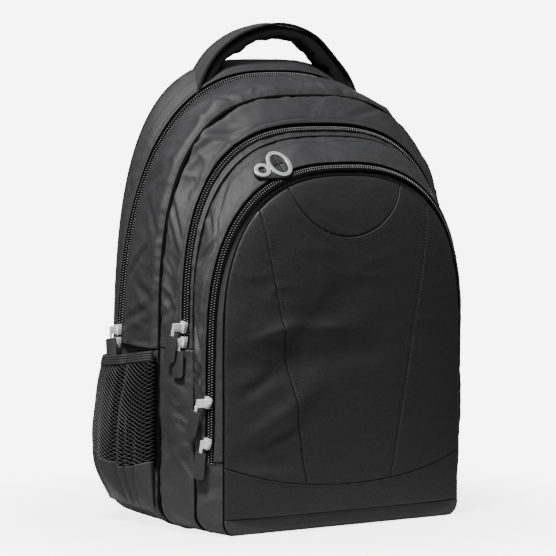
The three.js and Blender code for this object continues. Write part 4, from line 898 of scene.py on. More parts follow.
def front_sheet(name, foot, head, columns, rows, on_boot=False):
    """One piece of the front between the lines foot(p) and head(p) of x and z, p from -1 to 1.
    on_boot bends its first column down onto the seam over the boot."""
    p = np.linspace(-1, 1, columns)
    p = 0.6 * p + 0.4 * np.sin(p * math.pi / 2)
    (x0, z0), (x1, z1) = foot(p), head(p)
    q = edge_rows(rows)[:, None]
    x, z = x0 + (x1 - x0) * q, z0 + (z1 - z0) * q
    if on_boot:
        drop = boot_height(x[:, :1]) + SEAM / 2 - z[:, :1]
        z = z + drop * ((1 - p) / 2) ** 3
    flat = np.stack([x, 0 * x, z], -1)
    across = np.linalg.norm(np.diff(flat, axis=1), axis=2)
    left = np.hstack([np.zeros((rows, 1)), np.cumsum(across, axis=1)])
    v = lengths(flat)[1]
    gap = np.minimum(np.minimum(left, left[:, -1:] - left), np.minimum(v, v[-1:] - v))
    x = x * (1 - SEAM / 2 / np.maximum(np.abs(x), NEAR_MIDDLE))
    gathers = 0.5 * pucker(x + 2 * z, gap, SEEDS["front_pucker"], 1.0, 9)
    lift = edge_dip(gap, 0.7, 2.6) - gathers * np.clip(gap / 2, 0, 1)
    grid = np.stack([x, front_depth(x, z) + lift, z], -1)
    mesh = grid_mesh(name + "_cloth", grid, x.copy(), z.copy(), flip=True)
    piece = solidify(new_object(name + "_cloth", mesh, FINISH["front"]), CLOTH_WALL)
    return ride(piece, "front_cloth", name)


def boot_foot(p):
    return p * float(front_edge(FRONT_FOOT)), FRONT_FOOT + 0 * p


def boot_head(p):
    return p * BOOT_END, boot_height(p * BOOT_END) - SEAM / 2


def centre_foot(p):
    return p * (TAPER_FOOT - SEAM / 2), boot_height(p * TAPER_FOOT) + SEAM / 2


def centre_head(p):
    x = p * float(taper_half(TAPER_TOP))
    return x, np.where(np.abs(x) < YOKE_HALF, yoke_line(x) - SEAM, front_top(x))


def yoke_foot(p):
    return p * YOKE_HALF, yoke_line(p * YOKE_HALF) + SEAM / 2


def yoke_head(p):
    x = p * YOKE_HALF
    return x, np.maximum(front_top(x), yoke_line(x) + 1)


def side_lines(side):
    """The outer and inner edge of a side of the front, left one first."""
    low, foot, high = float(boot_height(BOOT_END)), float(boot_height(TAPER_FOOT)), TAPER_TOP - 1
    heights = lambda p, start: start + (high - start) * (p + 1) / 2
    outer = lambda p: (side * front_edge(heights(p, low)), heights(p, low) + SEAM / 2)
    inner = lambda p: (side * (taper_half(heights(p, foot)) + SEAM / 2), heights(p, foot) + SEAM / 2)
    return (inner, outer) if side == LEFT else (outer, inner)


def add_front():
    front_sheet("front_boot", boot_foot, boot_head, 130, 32)
    front_sheet("front_centre", centre_foot, centre_head, 100, 130)
    front_sheet("front_yoke", yoke_foot, yoke_head, 80, 36)
    for side, word in SIDES:
        front_sheet(f"front_side_{word}", *side_lines(side), 130, 46, on_boot=True)


# Zips, and the dark strips in the seams: painted shade, and piping at the front panel

TAPE_UNDER = 0.8  # how far a zip's tape runs on under the cloth beside it
TAPE_THICK = 0.6


def zip_face(kind):
    """A zip's middle line, with the directions across its tape and out of it."""
    middle = zip_of(kind)[0]["middle"]
    way = directions(middle)
    out = outwards(middle) * math.cos(ZIP_TILT) + np.array([0, -math.sin(ZIP_TILT), 0])
    out = unit(out - way * np.sum(out * way, axis=1, keepdims=True))
    return middle, np.cross(out, way), out


def add_tape(kind):
    middle, across, out = zip_face(kind)
    places = np.linspace(-1, 1, 9)[:, None, None] * (ZIP_WIDTH / 2 + TAPE_UNDER)
    grid = middle + across * places - out * TAPE_SINK
    u, v = lengths(grid)
    mesh = grid_mesh(kind + "_tape", grid, u, v, flip=True)
    piece = solidify(new_object(kind + "_tape", mesh, FINISH["tape"]), TAPE_THICK)
    return ride(piece, "zip_tape", kind + "_zip")


def path_mesh(name, points, outs):
    """A bare line for a nodes tree to follow, with the way out of the bag at each of its points."""
    mesh = bpy.data.meshes.new(name)
    mesh.from_pydata(in_frame(points).tolist(), [(i, i + 1) for i in range(len(points) - 1)], [])
    out = mesh.attributes.new("out", "FLOAT_VECTOR", "POINT")
    out.data.foreach_set("vector", np.asarray(outs, float).ravel())
    made = bpy.data.objects.new(name, mesh)
    bpy.context.scene.collection.objects.link(made)
    return made


def follow_tree():
    """A nodes tree that repeats a shape along a line, X along it and Z out of the bag."""
    tree = bpy.data.node_groups.new("Repeat along a line", "GeometryNodeTree")
    face = tree.interface
    for name, kind in dict(Geometry="Geometry", Shape="Object", Spacing="Float", Finish="Material").items():
        face.new_socket(name, in_out="INPUT", socket_type="NodeSocket" + kind)
    face.new_socket("Geometry", in_out="OUTPUT", socket_type="NodeSocketGeometry")

    def node(kind, settings=None, **links):
        made = tree.nodes.new(kind)
        for key, value in (settings or {}).items():
            setattr(made, key, value)
        for key, value in links.items():
            socket = made.inputs[key.replace("_", " ")]
            if hasattr(value, "is_output"):
                tree.links.new(value, socket)
            else:
                socket.default_value = value
        return made

    given = node("NodeGroupInput").outputs
    curve = node("GeometryNodeMeshToCurve", Mesh=given["Geometry"]).outputs[0]
    even = node("GeometryNodeResampleCurve", {"mode": "LENGTH"},
                Curve=curve, Length=given["Spacing"]).outputs[0]
    shape = node("GeometryNodeObjectInfo", Object=given["Shape"]).outputs["Geometry"]
    tangent = node("GeometryNodeInputTangent").outputs[0]
    out = node("GeometryNodeInputNamedAttribute", {"data_type": "FLOAT_VECTOR"}, Name="out").outputs[0]
    turn = "FunctionNodeAlignRotationToVector"
    turned = node(turn, {"axis": "X"}, Vector=tangent).outputs[0]
    facing = node(turn, {"axis": "Z", "pivot_axis": "X"}, Rotation=turned, Vector=out).outputs[0]
    placed = node("GeometryNodeInstanceOnPoints", Points=even, Instance=shape, Rotation=facing).outputs[0]
    real = node("GeometryNodeRealizeInstances", Geometry=placed).outputs[0]
    done = node("GeometryNodeSetMaterial", Geometry=real, Material=given["Finish"]).outputs[0]
    tree.links.new(done, node("NodeGroupOutput").inputs[0])
    return tree


FOLLOW = follow_tree()


def repeated(name, line, shape, spacing, finish):
    """The shape repeated along a line, as a plain mesh."""
    modifier = line.modifiers.new("Repeat", "NODES")
    modifier.node_group = FOLLOW
    sockets = {s.name: s.identifier for s in FOLLOW.interface.items_tree if s.in_out == "INPUT"}
    modifier[sockets["Shape"]] = shape
    modifier[sockets["Spacing"]] = spacing * MM
    modifier[sockets["Finish"]] = finish
    bpy.context.view_layer.update()
    graph = bpy.context.evaluated_depsgraph_get()
    mesh = bpy.data.meshes.new_from_object(line.evaluated_get(graph))
    bpy.data.objects.remove(line)
    mesh.name = name
    smooth(mesh)
    return mesh


def joined(name, meshes, finish):
    """Several meshes of one finish as one object."""
    whole = bmesh.new()
    for mesh in meshes:
        whole.from_mesh(mesh)
    made = bpy.data.meshes.new(name)
    whole.to_mesh(made)
    whole.free()
    smooth(made)
    return new_object(name, made, finish)


def bead(name, long, wide, high, rings, around):
    """A small closed pill along X, with each ring's share of its full width."""
    made = bmesh.new()
    turns = [2 * math.pi * k / around for k in range(around)]
    loops = []
    for i, size in enumerate(rings):
        x = long * (i / (len(rings) - 1) - 0.5)
        places = [(x, wide / 2 * size * math.cos(turn), high / 2 * size * math.sin(turn)) for turn in turns]
        if size == 0:
            places = [(x, 0, 0)]
        loops.append([made.verts.new(Vector(place) * MM) for place in places])
    for a, b in zip(loops, loops[1:]):
        for k in range(around):
            ring = [a[k % len(a)], b[k % len(b)], b[(k + 1) % len(b)], a[(k + 1) % len(a)]]
            made.faces.new(list(dict.fromkeys(ring)))
    bmesh.ops.recalc_face_normals(made, faces=made.faces)
    mesh = bpy.data.meshes.new(name)
    made.to_mesh(mesh)
    made.free()
    return bpy.data.objects.new(name, mesh)


TOOTH_STEP = 2.6
TOOTH_SIZE = (3.0, 1.05, 1.7)
TOOTH_RINGS = (0.0, 0.55, 1.0, 0.55, 0.0)
TOOTH_ACROSS = 1.55  # from the zip's middle to the middle of a tooth
TOOTH_TURN = 0.16  # in radians
COIL_RISE = 0.1  # of the middle of the teeth over the zip's middle line
STITCH_STEP = 3.4
STITCH_SIZE = (2.7, 0.62, 0.5)
STITCH_RINGS = (0.0, 0.95, 0.95, 0.0)
STITCH = bead("stitch_shape", *STITCH_SIZE, STITCH_RINGS, 4)


def tooth_shape(side):
    """One turn of the coil on one half of the zip, lying across the line."""
    pill = bead(f"tooth_{side}", *TOOTH_SIZE, TOOTH_RINGS, 6)
    pill.data.transform(Matrix.Rotation(math.pi / 2, 4, "Z"))
    pill.data.transform(Matrix.Rotation(side * TOOTH_TURN, 4, "Z"))
    place = Vector((side * TOOTH_STEP / 4, side * TOOTH_ACROSS, 0))
    pill.data.transform(Matrix.Translation(place * MM))
    return pill


TEETH = [tooth_shape(side) for side in (LEFT, RIGHT)]


def add_coil(kind):
    middle, _, out = zip_face(kind)
    path = middle + out * COIL_RISE
    rows = []
    for tooth in TEETH:
        rows.append(repeated(f"{kind}_row", path_mesh("row", path, out), tooth, TOOTH_STEP, FINISH["coil"]))
    return ride(joined(kind + "_coil", rows, FINISH["coil"]), "zip_tape")


def add_zips():
    for kind in ZIPS:
        add_tape(kind)
        add_coil(kind)


# Where the dark strip in each seam starts over the bag's sides, how deep it lies in the seam, and its width
# At the chamber and main seams the strip is painted shade for the crack; at the front one it is the panel's
# piping
SEAM_SHADE_AND_PIPING = dict(
    chamber=(LAPTOP_ZIP_END, 1.2, 5.0),
    main=(MAIN_ZIP_END, 0.8, 3.4),
    front=(FRONT_ZIP_END, 0.5, 2.2),
)
SEAM_STRIP_COUNT = 150  # points along a strip up a side


def add_seam_shade_and_piping():
    """A dark strip down in each seam between two bands: painted shade in the crack, and at the front panel
    its dark piping.
    """
    shares = np.linspace(0, 1, SEAM_STRIP_COUNT)
    pieces = []
    for name, (z_from, deep, wide) in SEAM_SHADE_AND_PIPING.items():
        lines = [joint_lines(over_top(z_from, ARCH_COUNT))[name]]
        for side in (LEFT, RIGHT):
            lines.append(joint_lines(lambda s: upright(s, z_from, side, shares))[name])
        for line in lines:
            path = line - outwards(line) * deep
            path[:, 2] = np.maximum(path[:, 2], wide / 2 + SEAM)
            frames = path_frames(path, (0, 1, 0))
            pieces.append(strap_mesh("binding", path, *frames, wide, wide * 0.7, 2, 10))
    ride(joined("seam_bindings", pieces, FINISH["tape"]), "zip_tape")


# Stitches

def stitch_row(name, points, outs):
    return repeated(name, path_mesh("row", points, outs), STITCH, STITCH_STEP, FINISH["thread"])


STITCH_RISE = 0.12  # how high the middle of a stitch lies over the cloth


def along_band(name, distance):
    """A line on a band at a distance from its rear seam, or from its front one when it is less than 0."""
    grid, v, out = BANDS[name]
    place = distance if distance > 0 else v[-1].min() + distance
    columns = range(grid.shape[1])
    points = np.stack([[np.interp(place, v[:, k], grid[:, k, axis]) for axis in range(3)] for k in columns])
    return points + out * STITCH_RISE, out


# Sewn lines on the bands: the distance from the rear seam, or from the front one when less than 0
BAND_STITCHES = [
    ("rear_gusset", -2.4), ("laptop_gusset", 2.4), ("main_gusset", -2.4), ("main_edge_strip", 2.0),
    ("organiser_gusset", -2.4), ("front_edge_strip", 2.0), ("organiser_gusset", 2.6),
]


def on_front(x, z):
    return np.stack([x, front_depth(x, z) - STITCH_RISE, z], 1)


def front_stitches():
    """The sewn lines beside the front panel's seams."""
    ahead = np.array([[0, -1, 0]])
    end = 4  # from each line's end to the next seam
    up = np.linspace(boot_height(TAPER_FOOT) + end, TAPER_TOP - end, 120)
    across = np.linspace(-YOKE_HALF + end, YOKE_HALF - end, 80)
    wide = np.linspace(-front_edge(60) + end, front_edge(60) - end, 120)
    lines = [on_front(side * (taper_half(up) - off), up) for side in (LEFT, RIGHT) for off in (1.8, 6.5)]
    lines += [on_front(across, yoke_line(across) - off) for off in (1.8, 6.0)]
    lines.append(on_front(wide, boot_height(wide) - 2.0))
    return [stitch_row("front_row", line, np.repeat(ahead, len(line), 0)) for line in lines]


def add_stitches():
    rows = [stitch_row(name + "_row", *along_band(name, distance)) for name, distance in BAND_STITCHES]
    ride(joined("shell_stitches", rows, FINISH["thread"]), "shell_cloth")
    ride(joined("front_stitches", front_stitches(), FINISH["thread"]), "front_cloth")


# Net pockets

def net_low(u):
    return (NET_LOW - POCKET_FOOT + NET_LOW_REAR * np.abs(1.4 * u - 1) ** 1.5) / (POCKET_TOP - POCKET_FOOT)


HEM_SHARE = 1 - HEM_HEIGHT / (POCKET_TOP - POCKET_FOOT)

# Upright folds of a pocket: place and width as shares of its width, depth in millimetres low down
# and high up
POCKET_FOLDS = [
    dict(at=0.64, wide=0.05, low=15.0, high=9.0),
    dict(at=0.34, wide=0.05, low=8.0, high=1.0),
    dict(at=0.8, wide=0.035, low=13.0, high=0.3),
    dict(at=0.91, wide=0.03, low=9.0, high=0.2),
]

FOLD_LEAN = 0.15  # how far a fold's foot lies behind its top, as a share of the pocket's width
LOBE_SPLIT = 0.58  # where the net's two lobes meet, as a share of its width
LOBE_PUFF = 4.0  # how far each lobe stands out
POCKET_STAND, POCKET_EASE = 1.7, 3  # how far a pocket stands off the side, and the slack in its cloth


def pocket_ends(z):
    """The rear and the front edge of a pocket at a height."""
    over = np.maximum(z, seam["back"]["lift"])
    ends = []
    for name, in_from_seam in (("back", -POCKET_REAR), ("chamber", POCKET_FRONT)):
        depth = depth_at(seam[name], z) + in_from_seam
        ends.append(np.stack([half_width_at(seam[name], over), depth, z], -1))
    return ends


def fold_depth(u, v):
    """How deep the pocket's upright folds press in."""
    drop = 0
    for row in POCKET_FOLDS:
        depth = row["high"] + (row["low"] - row["high"]) * np.clip(1.25 - v * 1.9, 0, 1)
        a = (u - row["at"] + FOLD_LEAN * (0.8 - v)) / row["wide"]
        drop = drop + depth * np.exp(-a * a) * np.clip(4 * v, 0, 1)
    return drop


def pocket_grid(side, u, v, lift):
    """A pocket's face at u from its rear edge to its front one and v from its foot to its top."""
    top = POCKET_TOP - POCKET_SAG * np.cos(math.pi * u / 2)
    z = POCKET_FOOT + (top - POCKET_FOOT) * v
    rear, front = pocket_ends(z)
    p = rear + (front - rear) * u[..., None]
    swell = np.clip(np.sin(math.pi * u ** 0.7), 0, 1) ** 0.5
    rise = np.where(v < 0.35, 1 - (1 - v / 0.35) ** 2, 1 - 0.9 * (v - 0.35) ** 2)
    middle = POCKET_FOLD * np.exp(-(((u - 0.5) / 0.09) ** 2)) * (1 - v) * np.clip(3 * v, 0, 1)
    slack = 1.5 * smooth_noise(u * 5 + 3, v * 6, SEEDS["pocket"]) * swell
    out = p[..., 0] + POCKET_STAND + POCKET_EASE * swell + POCKET_BULGE * swell * rise - middle + lift
    lobe = np.where(u < LOBE_SPLIT, u / LOBE_SPLIT, (u - LOBE_SPLIT) / (1 - LOBE_SPLIT))
    out = out + LOBE_PUFF * np.abs(np.sin(math.pi * lobe)) * np.sin(math.pi * v)
    out = out + (slack - fold_depth(u, v)) * np.clip(1.5 - v, 0, 1)
    return np.stack([side * out, p[..., 1], p[..., 2]], -1)


def pocket_sheet(low, high, columns, rows):
    """Shares u across and v up a pocket, between two lines over its width."""
    u = np.broadcast_to(np.linspace(0, 1, columns), (rows, columns))
    share = np.linspace(0, 1, rows)[:, None]
    return u, low(u) + (high(u) - low(u)) * share


def add_pocket_sheet(name, side, u, v, lift, finish):
    """A sheet over a pocket's face, its wall still to come."""
    grid = pocket_grid(side, u, v, lift)
    mesh = grid_mesh(name, grid, *lengths(grid), flip=side == LEFT)
    return new_object(name, mesh, FINISH[finish])


def add_pocket_cloth(side, word):
    u, v = pocket_sheet(lambda u: 0 * u, lambda u: net_low(u) + 0.004, 120, 46)
    piece = add_pocket_sheet(f"pocket_base_{word}_cloth", side, u, v, CLOTH, "shell")
    ride(solidify(piece, CLOTH_WALL), "shell_cloth", f"pocket_base_{word}")


HEM_WALL = 2.0


def add_pocket_hem(side, word):
    u, v = pocket_sheet(lambda u: HEM_SHARE + 0 * u, lambda u: 1 + 0 * u, 110, 24)
    share = (v - HEM_SHARE) / (1 - HEM_SHARE)
    ribs = 0.55 * np.abs(np.sin(share * math.pi * 4))
    waves = 0.5 * smooth_noise(u * 14, share * 0.7, SEEDS["hem"])
    round_off = 1.2 * np.abs(2 * share - 1) ** 6
    lift = HEM_THICK - 0.6 + ribs + waves - round_off
    piece = add_pocket_sheet(f"pocket_hem_{word}_band", side, u, v, lift, "hem")
    ride(solidify(piece, HEM_WALL), "webbing", f"pocket_hem_{word}")


NET_WIDTH, NET_HEIGHT = 112, 104  # of the net's face, about
NET_STEP = 5.2  # width of one hole of the net
NET_RISE = 4.3  # and its height
NET_THREAD = 1.45
NET_BEHIND = 1.6  # how far behind it its dark backing lies, painted shade for the pocket's inside
NET_TUCK = 0.02  # how far the backing runs on under the cloth and the hem, as a share of the height
SHADE_BACKING_WALL = 0.4


def net_mesh(grid, flip):
    """A face for each diamond hole, on every other point of a grid."""
    rows, columns = grid.shape[:2]
    places = [(i, j) for i in range(rows) for j in range(columns)]
    made = bmesh.new()
    verts = {}
    for i, j in places:
        if (i + j) % 2 == 0 or i in (0, rows - 1):
            verts[i, j] = made.verts.new(in_frame(grid[i, j])[0])
    for i, j in places:
        ring = [verts.get(at) for at in ((i - 1, j), (i, j + 1), (i + 1, j), (i, j - 1))]
        if (i + j) % 2 == 1 and all(ring):
            made.faces.new(ring[::-1] if flip else ring)
    loose = [vert for vert in made.verts if not vert.link_faces]
    bmesh.ops.delete(made, geom=loose, context="VERTS")
    mesh = bpy.data.meshes.new("net")
    made.to_mesh(mesh)
    made.free()
    return mesh


def add_net(side, word):
    """The net as threads between its diamond holes."""
    columns = 2 * round(NET_WIDTH / NET_STEP) + 1
    rows = 2 * round(NET_HEIGHT / NET_RISE) + 1
    u, v = pocket_sheet(net_low, lambda u: HEM_SHARE + 0 * u, columns, rows)
    mesh = net_mesh(pocket_grid(side, u, v, CLOTH / 2), side == RIGHT)
    piece = new_object(f"pocket_net_{word}_threads", mesh, FINISH["net"])
    wire = piece.modifiers.new("Threads", "WIREFRAME")
    wire.thickness = NET_THREAD * MM
    wire.use_even_offset = False
    wire.use_boundary = True
    ride(piece, "net", f"pocket_net_{word}")


def add_net_shade_backing(side, word):
    """A dark sheet close behind the open net, for what its holes show: the bag's black side, darkened by
    painted shade of the pocket's inside.
    """
    u, v = pocket_sheet(lambda u: net_low(u) - NET_TUCK, lambda u: HEM_SHARE + NET_TUCK + 0 * u, 50, 30)
    piece = add_pocket_sheet(f"pocket_net_{word}_lining", side, u, v, -NET_BEHIND, "tape")
    ride(solidify(piece, SHADE_BACKING_WALL), "net")


def add_pockets():
    for side, word in SIDES:
        add_pocket_cloth(side, word)
        add_pocket_hem(side, word)
        add_net(side, word)
        add_net_shade_backing(side, word)


# Handle and shoulder straps

# The handle's upper side from left to right: shares of the bag's width, and of its rise over the bag's top
HANDLE_PATH = [
    (-0.275, -1.15), (-0.237, -0.37), (-0.189, 0.19), (-0.117, 0.64), (-0.045, 0.87), (0.028, 0.97),
    (0.1, 0.86), (0.165, 0.58), (0.222, 0.08), (0.279, -0.51), (0.309, -1.04), (0.322, -1.55),
]

# A strap from its upper end down: shares of the bag's width, of the strap's reach behind the bag,
# of the bag's height and of the strap's width
STRAP_PATH = [
    dict(across=0.135, behind=-0.19, height=0.8, width=0.74),
    dict(across=0.137, behind=-0.26, height=0.856, width=0.76),
    dict(across=0.143, behind=-0.13, height=0.9, width=0.8),
    dict(across=0.156, behind=0.24, height=0.905, width=0.86),
    dict(across=0.174, behind=0.58, height=0.865, width=0.94),
    dict(across=0.2, behind=0.84, height=0.79, width=1.0),
    dict(across=0.232, behind=0.98, height=0.69, width=1.0),
    dict(across=0.262, behind=1.0, height=0.58, width=0.92),
    dict(across=0.288, behind=0.9, height=0.47, width=0.76),
    dict(across=0.304, behind=0.74, height=0.37, width=0.55),
]


def smooth_path(points, count):
    """Evenly spaced points on a centripetal curve through the given ones."""
    p = np.asarray(points, float)
    p = np.vstack([2 * p[0] - p[1], p, 2 * p[-1] - p[-2]])
    fine = []
    for x0, x1, x2, x3 in zip(p, p[1:], p[2:], p[3:]):
        d0, d1, d2 = [np.linalg.norm(b - a) ** 0.5 for a, b in ((x0, x1), (x1, x2), (x2, x3))]
        t1 = ((x1 - x0) / d0 - (x2 - x0) / (d0 + d1) + (x2 - x1) / d1) * d1
        t2 = ((x2 - x1) / d1 - (x3 - x1) / (d1 + d2) + (x3 - x2) / d2) * d1
        t = np.linspace(0, 1, 60, endpoint=False)[:, None]
        square, cube = -3 * x1 + 3 * x2 - 2 * t1 - t2, 2 * x1 - 2 * x2 + t1 + t2
        fine.append(x1 + t1 * t + square * t ** 2 + cube * t ** 3)
    fine = np.vstack([*fine, p[-2]])
    run = way_along(fine)
    even = np.linspace(0, run[-1], count)
    return np.stack([np.interp(even, run, fine[:, k]) for k in range(3)], 1)


def path_frames(path, across):
    """The width and thickness directions of a strap at each point of its path."""
    way = directions(path)
    wide = unit(across - way * (way @ across)[:, None])
    return wide, np.cross(way, wide)


def rounded_section(count, corner):
    """A flat closed outline of half sizes 1 and 1: an ellipse at corner 2, squarer above."""
    angle = np.linspace(0, 2 * math.pi, count, endpoint=False)
    c, s = np.cos(angle), np.sin(angle)
    return np.sign(c) * np.abs(c) ** (2 / corner), np.sign(s) * np.abs(s) ** (2 / corner)


def strap_mesh(name, path, wide, thin, widths, thicks, corner, around, relief=None):
    """A strap with closed ends. relief lifts its surface, by the way along it and the angle round it."""
    a, b = rounded_section(around, corner)
    widths, thicks = [np.broadcast_to(sizes, len(path)) for sizes in (widths, thicks)]
    grid = (path[:, None] + wide[:, None] * (a * widths[:, None] / 2)[..., None]
            + thin[:, None] * (b * thicks[:, None] / 2)[..., None])
    run = way_along(path)
    if relief is not None:
        lift = relief(run[:, None], a, b)
        grid = grid + (wide[:, None] * a[:, None] * 0.3 + thin[:, None] * b[:, None]) * lift[..., None]
    u = np.broadcast_to(run[:, None], grid.shape[:2]).copy()
    around_run = np.linspace(0, 2 * np.mean(widths), around, endpoint=False)
    v = np.broadcast_to(around_run, grid.shape[:2]).copy()
    mesh = grid_mesh(name, grid, u, v, closed=True)
    made = bmesh.new()
    made.from_mesh(mesh)
    bmesh.ops.holes_fill(made, edges=[e for e in made.edges if e.is_boundary])
    bmesh.ops.recalc_face_normals(made, faces=made.faces)
    made.to_mesh(mesh)
    made.free()
    smooth(mesh)
    return mesh


HANDLE_SINK = 14  # how far the handle's two ends run on under the cloth
ARCH_FINE = 801  # points along the line it is held against


def above_gusset(path):
    """The stretch of a path over the bag's top that stands out of its cloth."""
    shares = np.linspace(0, 1, ARCH_FINE)
    back = moved_back(arch(seam["back"], LAPTOP_ZIP_END, shares), -PAD_EDGE)
    zip_line = arch(seam["laptop_zip"], LAPTOP_ZIP_END, shares)
    share = np.clip((-HANDLE_DEPTH - back[:, 1]) / (zip_line[:, 1] - back[:, 1]), 0, 1)[:, None]
    top = back + (zip_line - back) * share
    left = top[: ARCH_FINE // 2]
    surface = np.interp(path[:, 0], top[:, 0], top[:, 2])
    edge = np.interp(path[:, 2], left[:, 2], -left[:, 0])
    out = (path[:, 2] > surface - HANDLE_SINK) | (np.abs(path[:, 0]) > edge - HANDLE_SINK)
    return path[out]


FOAM_SIZE = 4.0  # the grain of a strap pad's even mesh
FOAM_PRESSURE, FOAM_FRAMES = 4.0, 16  # how hard and for how many frames it is blown up
FOAM_CAP = 1.6  # the most it swells


def evened(piece):
    """A piece's mesh with faces of one size all over."""
    remesh = piece.modifiers.new("Even", "REMESH")
    remesh.mode, remesh.voxel_size = "VOXEL", FOAM_SIZE * MM
    graph = bpy.context.evaluated_depsgraph_get()
    even = bpy.data.meshes.new_from_object(piece.evaluated_get(graph))
    piece.modifiers.remove(remesh)
    finish = piece.data.materials[0]
    even.materials.clear()
    even.materials.append(finish)
    return even


def blown_up(piece):
    """The points of a piece after its cloth is blown up for a few frames."""
    cloth = piece.modifiers.new("Cloth", "CLOTH")
    cloth.settings.use_pressure = True
    cloth.settings.uniform_pressure_force = FOAM_PRESSURE
    cloth.settings.effector_weights.gravity = 0
    cloth.settings.quality = 5
    for step in range(1, FOAM_FRAMES + 1):
        bpy.context.scene.frame_set(step)
    graph = bpy.context.evaluated_depsgraph_get()
    blown = bpy.data.meshes.new_from_object(piece.evaluated_get(graph))
    piece.modifiers.remove(cloth)
    bpy.context.scene.frame_set(1)
    moved = np.zeros(len(blown.vertices) * 3)
    blown.vertices.foreach_get("co", moved)
    bpy.data.meshes.remove(blown)
    return moved.reshape(-1, 3)


def puffed(piece):
    """Swells a padded piece as stuffed cloth does, no further than its cap."""
    piece.data = even = evened(piece)
    rest = np.zeros(len(even.vertices) * 3)
    even.vertices.foreach_get("co", rest)
    way = blown_up(piece) - rest.reshape(-1, 3)
    far = np.linalg.norm(way, axis=1, keepdims=True)
    way *= np.minimum(1, FOAM_CAP * MM / np.maximum(far, 1e-9))
    even.vertices.foreach_set("co", (rest.reshape(-1, 3) + way).ravel())
    even.update()
    box_chart(even)
    smooth(even)
    finer = piece.modifiers.new("Finer", "SUBSURF")
    finer.levels = finer.render_levels = 1


HANDLE_COUNT = 240
HANDLE_TAPER = 14  # points from each end over which the padding fills out


def handle_line(drop):
    """A line along the handle, so far under its upper side."""
    points = [[x * BAG_WIDTH, -HANDLE_DEPTH, BAG_HEIGHT + rise * HANDLE_RISE] for x, rise in HANDLE_PATH]
    upper = np.array(points)
    return above_gusset(smooth_path(upper - outwards(upper) * drop, HANDLE_COUNT))


def add_handle_webbing():
    web = handle_line(0)
    wide, thin = path_frames(web, (0, 1, 0))
    mesh = strap_mesh("handle_web", web, wide, thin, HANDLE_WIDTH, WEBBING, 9, 32)
    ride(new_object("handle_webbing_band", mesh, FINISH["handle"]), "webbing", "handle_webbing")
    edges = []
    for side in (-1, 1):
        line = web + wide * side * (HANDLE_WIDTH / 2 - 0.6)
        edges.append(strap_mesh("edge", line, wide, thin, 3.4, 2.8, 3, 10))
    ride(joined("handle_edges", edges, FINISH["grip"]), "webbing")


def add_handle_grip():
    pad = handle_line((WEBBING + HANDLE_PAD) / 2 + SEAM)
    wide, thin = path_frames(pad, (0, 1, 0))
    place = np.arange(len(pad))
    ends = np.clip(np.minimum(place, place[::-1]) / HANDLE_TAPER, 0, 1) ** 0.5
    under = np.where(thin[:, 2:3] < 0, 1, -1)

    def wrinkles(run, a, b):
        long = 2.4 * smooth_noise(run / 13, a * 0.6 + 4, SEEDS["grip"])
        short = 0.8 * smooth_noise(run / 5, a + 9, SEEDS["grip"] + 1)
        return np.clip(b * under, 0, 1) * (long + short)

    thicks = (HANDLE_PAD - 1) * (0.8 + 0.2 * ends)
    mesh = strap_mesh("handle_pad", pad, wide, thin, HANDLE_WIDTH - 3, thicks, 3.2, 36, wrinkles)
    piece = ride(new_object("handle_grip_pad", mesh, FINISH["grip"]), "shell_cloth", "handle_grip")


STRAP_COUNT = 130


def strap_line(side):
    """The middle line of a strap's pad, and its width along it."""
    across, behind, height, width = [
        np.array([row[key] for row in STRAP_PATH]) for key in ("across", "behind", "height", "width")]
    points = np.stack([side * across * BAG_WIDTH, behind * STRAP_REACH, height * BAG_HEIGHT], 1)
    places = np.linspace(0, len(width) - 1, STRAP_COUNT)
    return smooth_path(points, STRAP_COUNT), np.interp(places, range(len(width)), width) * STRAP_WIDTH


def add_strap(side, word):
    path, widths = strap_line(side)
    wide, thin = path_frames(path, (1, 0, 0))
    mesh = strap_mesh("pad", path, wide, thin, widths - 4, STRAP_THICK - 2.5, 3.4, 40)
    pad = new_object(f"strap_pad_{word}_foam", mesh, FINISH["pad"])
    puffed(pad)
    ride(pad, "air_mesh", f"strap_pad_{word}")
    edges = []
    for edge in (-1, 1):
        line = path + wide * (edge * (widths / 2 - 1.2))[:, None]
        edges.append(strap_mesh("edge", line, wide, thin, 5.0, STRAP_THICK * 0.52, 3, 14))
    ride(joined(f"strap_binding_{word}", edges, FINISH["webbing"]), "webbing")


# Back and base

def outline_of(s, inset_by, z_from, count):
    """The closed line inside a seam, from its left foot over the top to its right foot and back."""
    over = np.sin(np.linspace(0, 1, 2101) * math.pi / 2)
    z = np.concatenate([
        np.linspace(z_from, s["shoulder"], 900), s["shoulder"] + (s["apex"] - s["shoulder"]) * over])
    x = half_width_at(s, z)
    right = np.stack([x, z], 1)
    left = right * [-1, 1]
    ring = np.vstack([left, right[::-1], left[:1]])
    run = way_along(ring)
    even = np.linspace(0, run[-1], count, endpoint=False)
    ring = np.stack([np.interp(even, run, ring[:, k]) for k in (0, 1)], 1)
    way = unit(np.roll(ring, -1, 0) - np.roll(ring, 1, 0))
    return ring + np.stack([way[:, 1], -way[:, 0]], 1) * inset_by


CHANNELS = (-58, 58)  # sewn lines that run up the padded back
CHANNEL_DEPTH, CHANNEL_HALF = 2.6, 3.2
PAD_MIDDLE = np.array([0, 230])  # across and up, where the back pad's columns start
PAD_HOLE = 0.004  # share of the way out at which they start
PIPING_INSET = 4.5  # from the back's outline to the middle of the cord round it


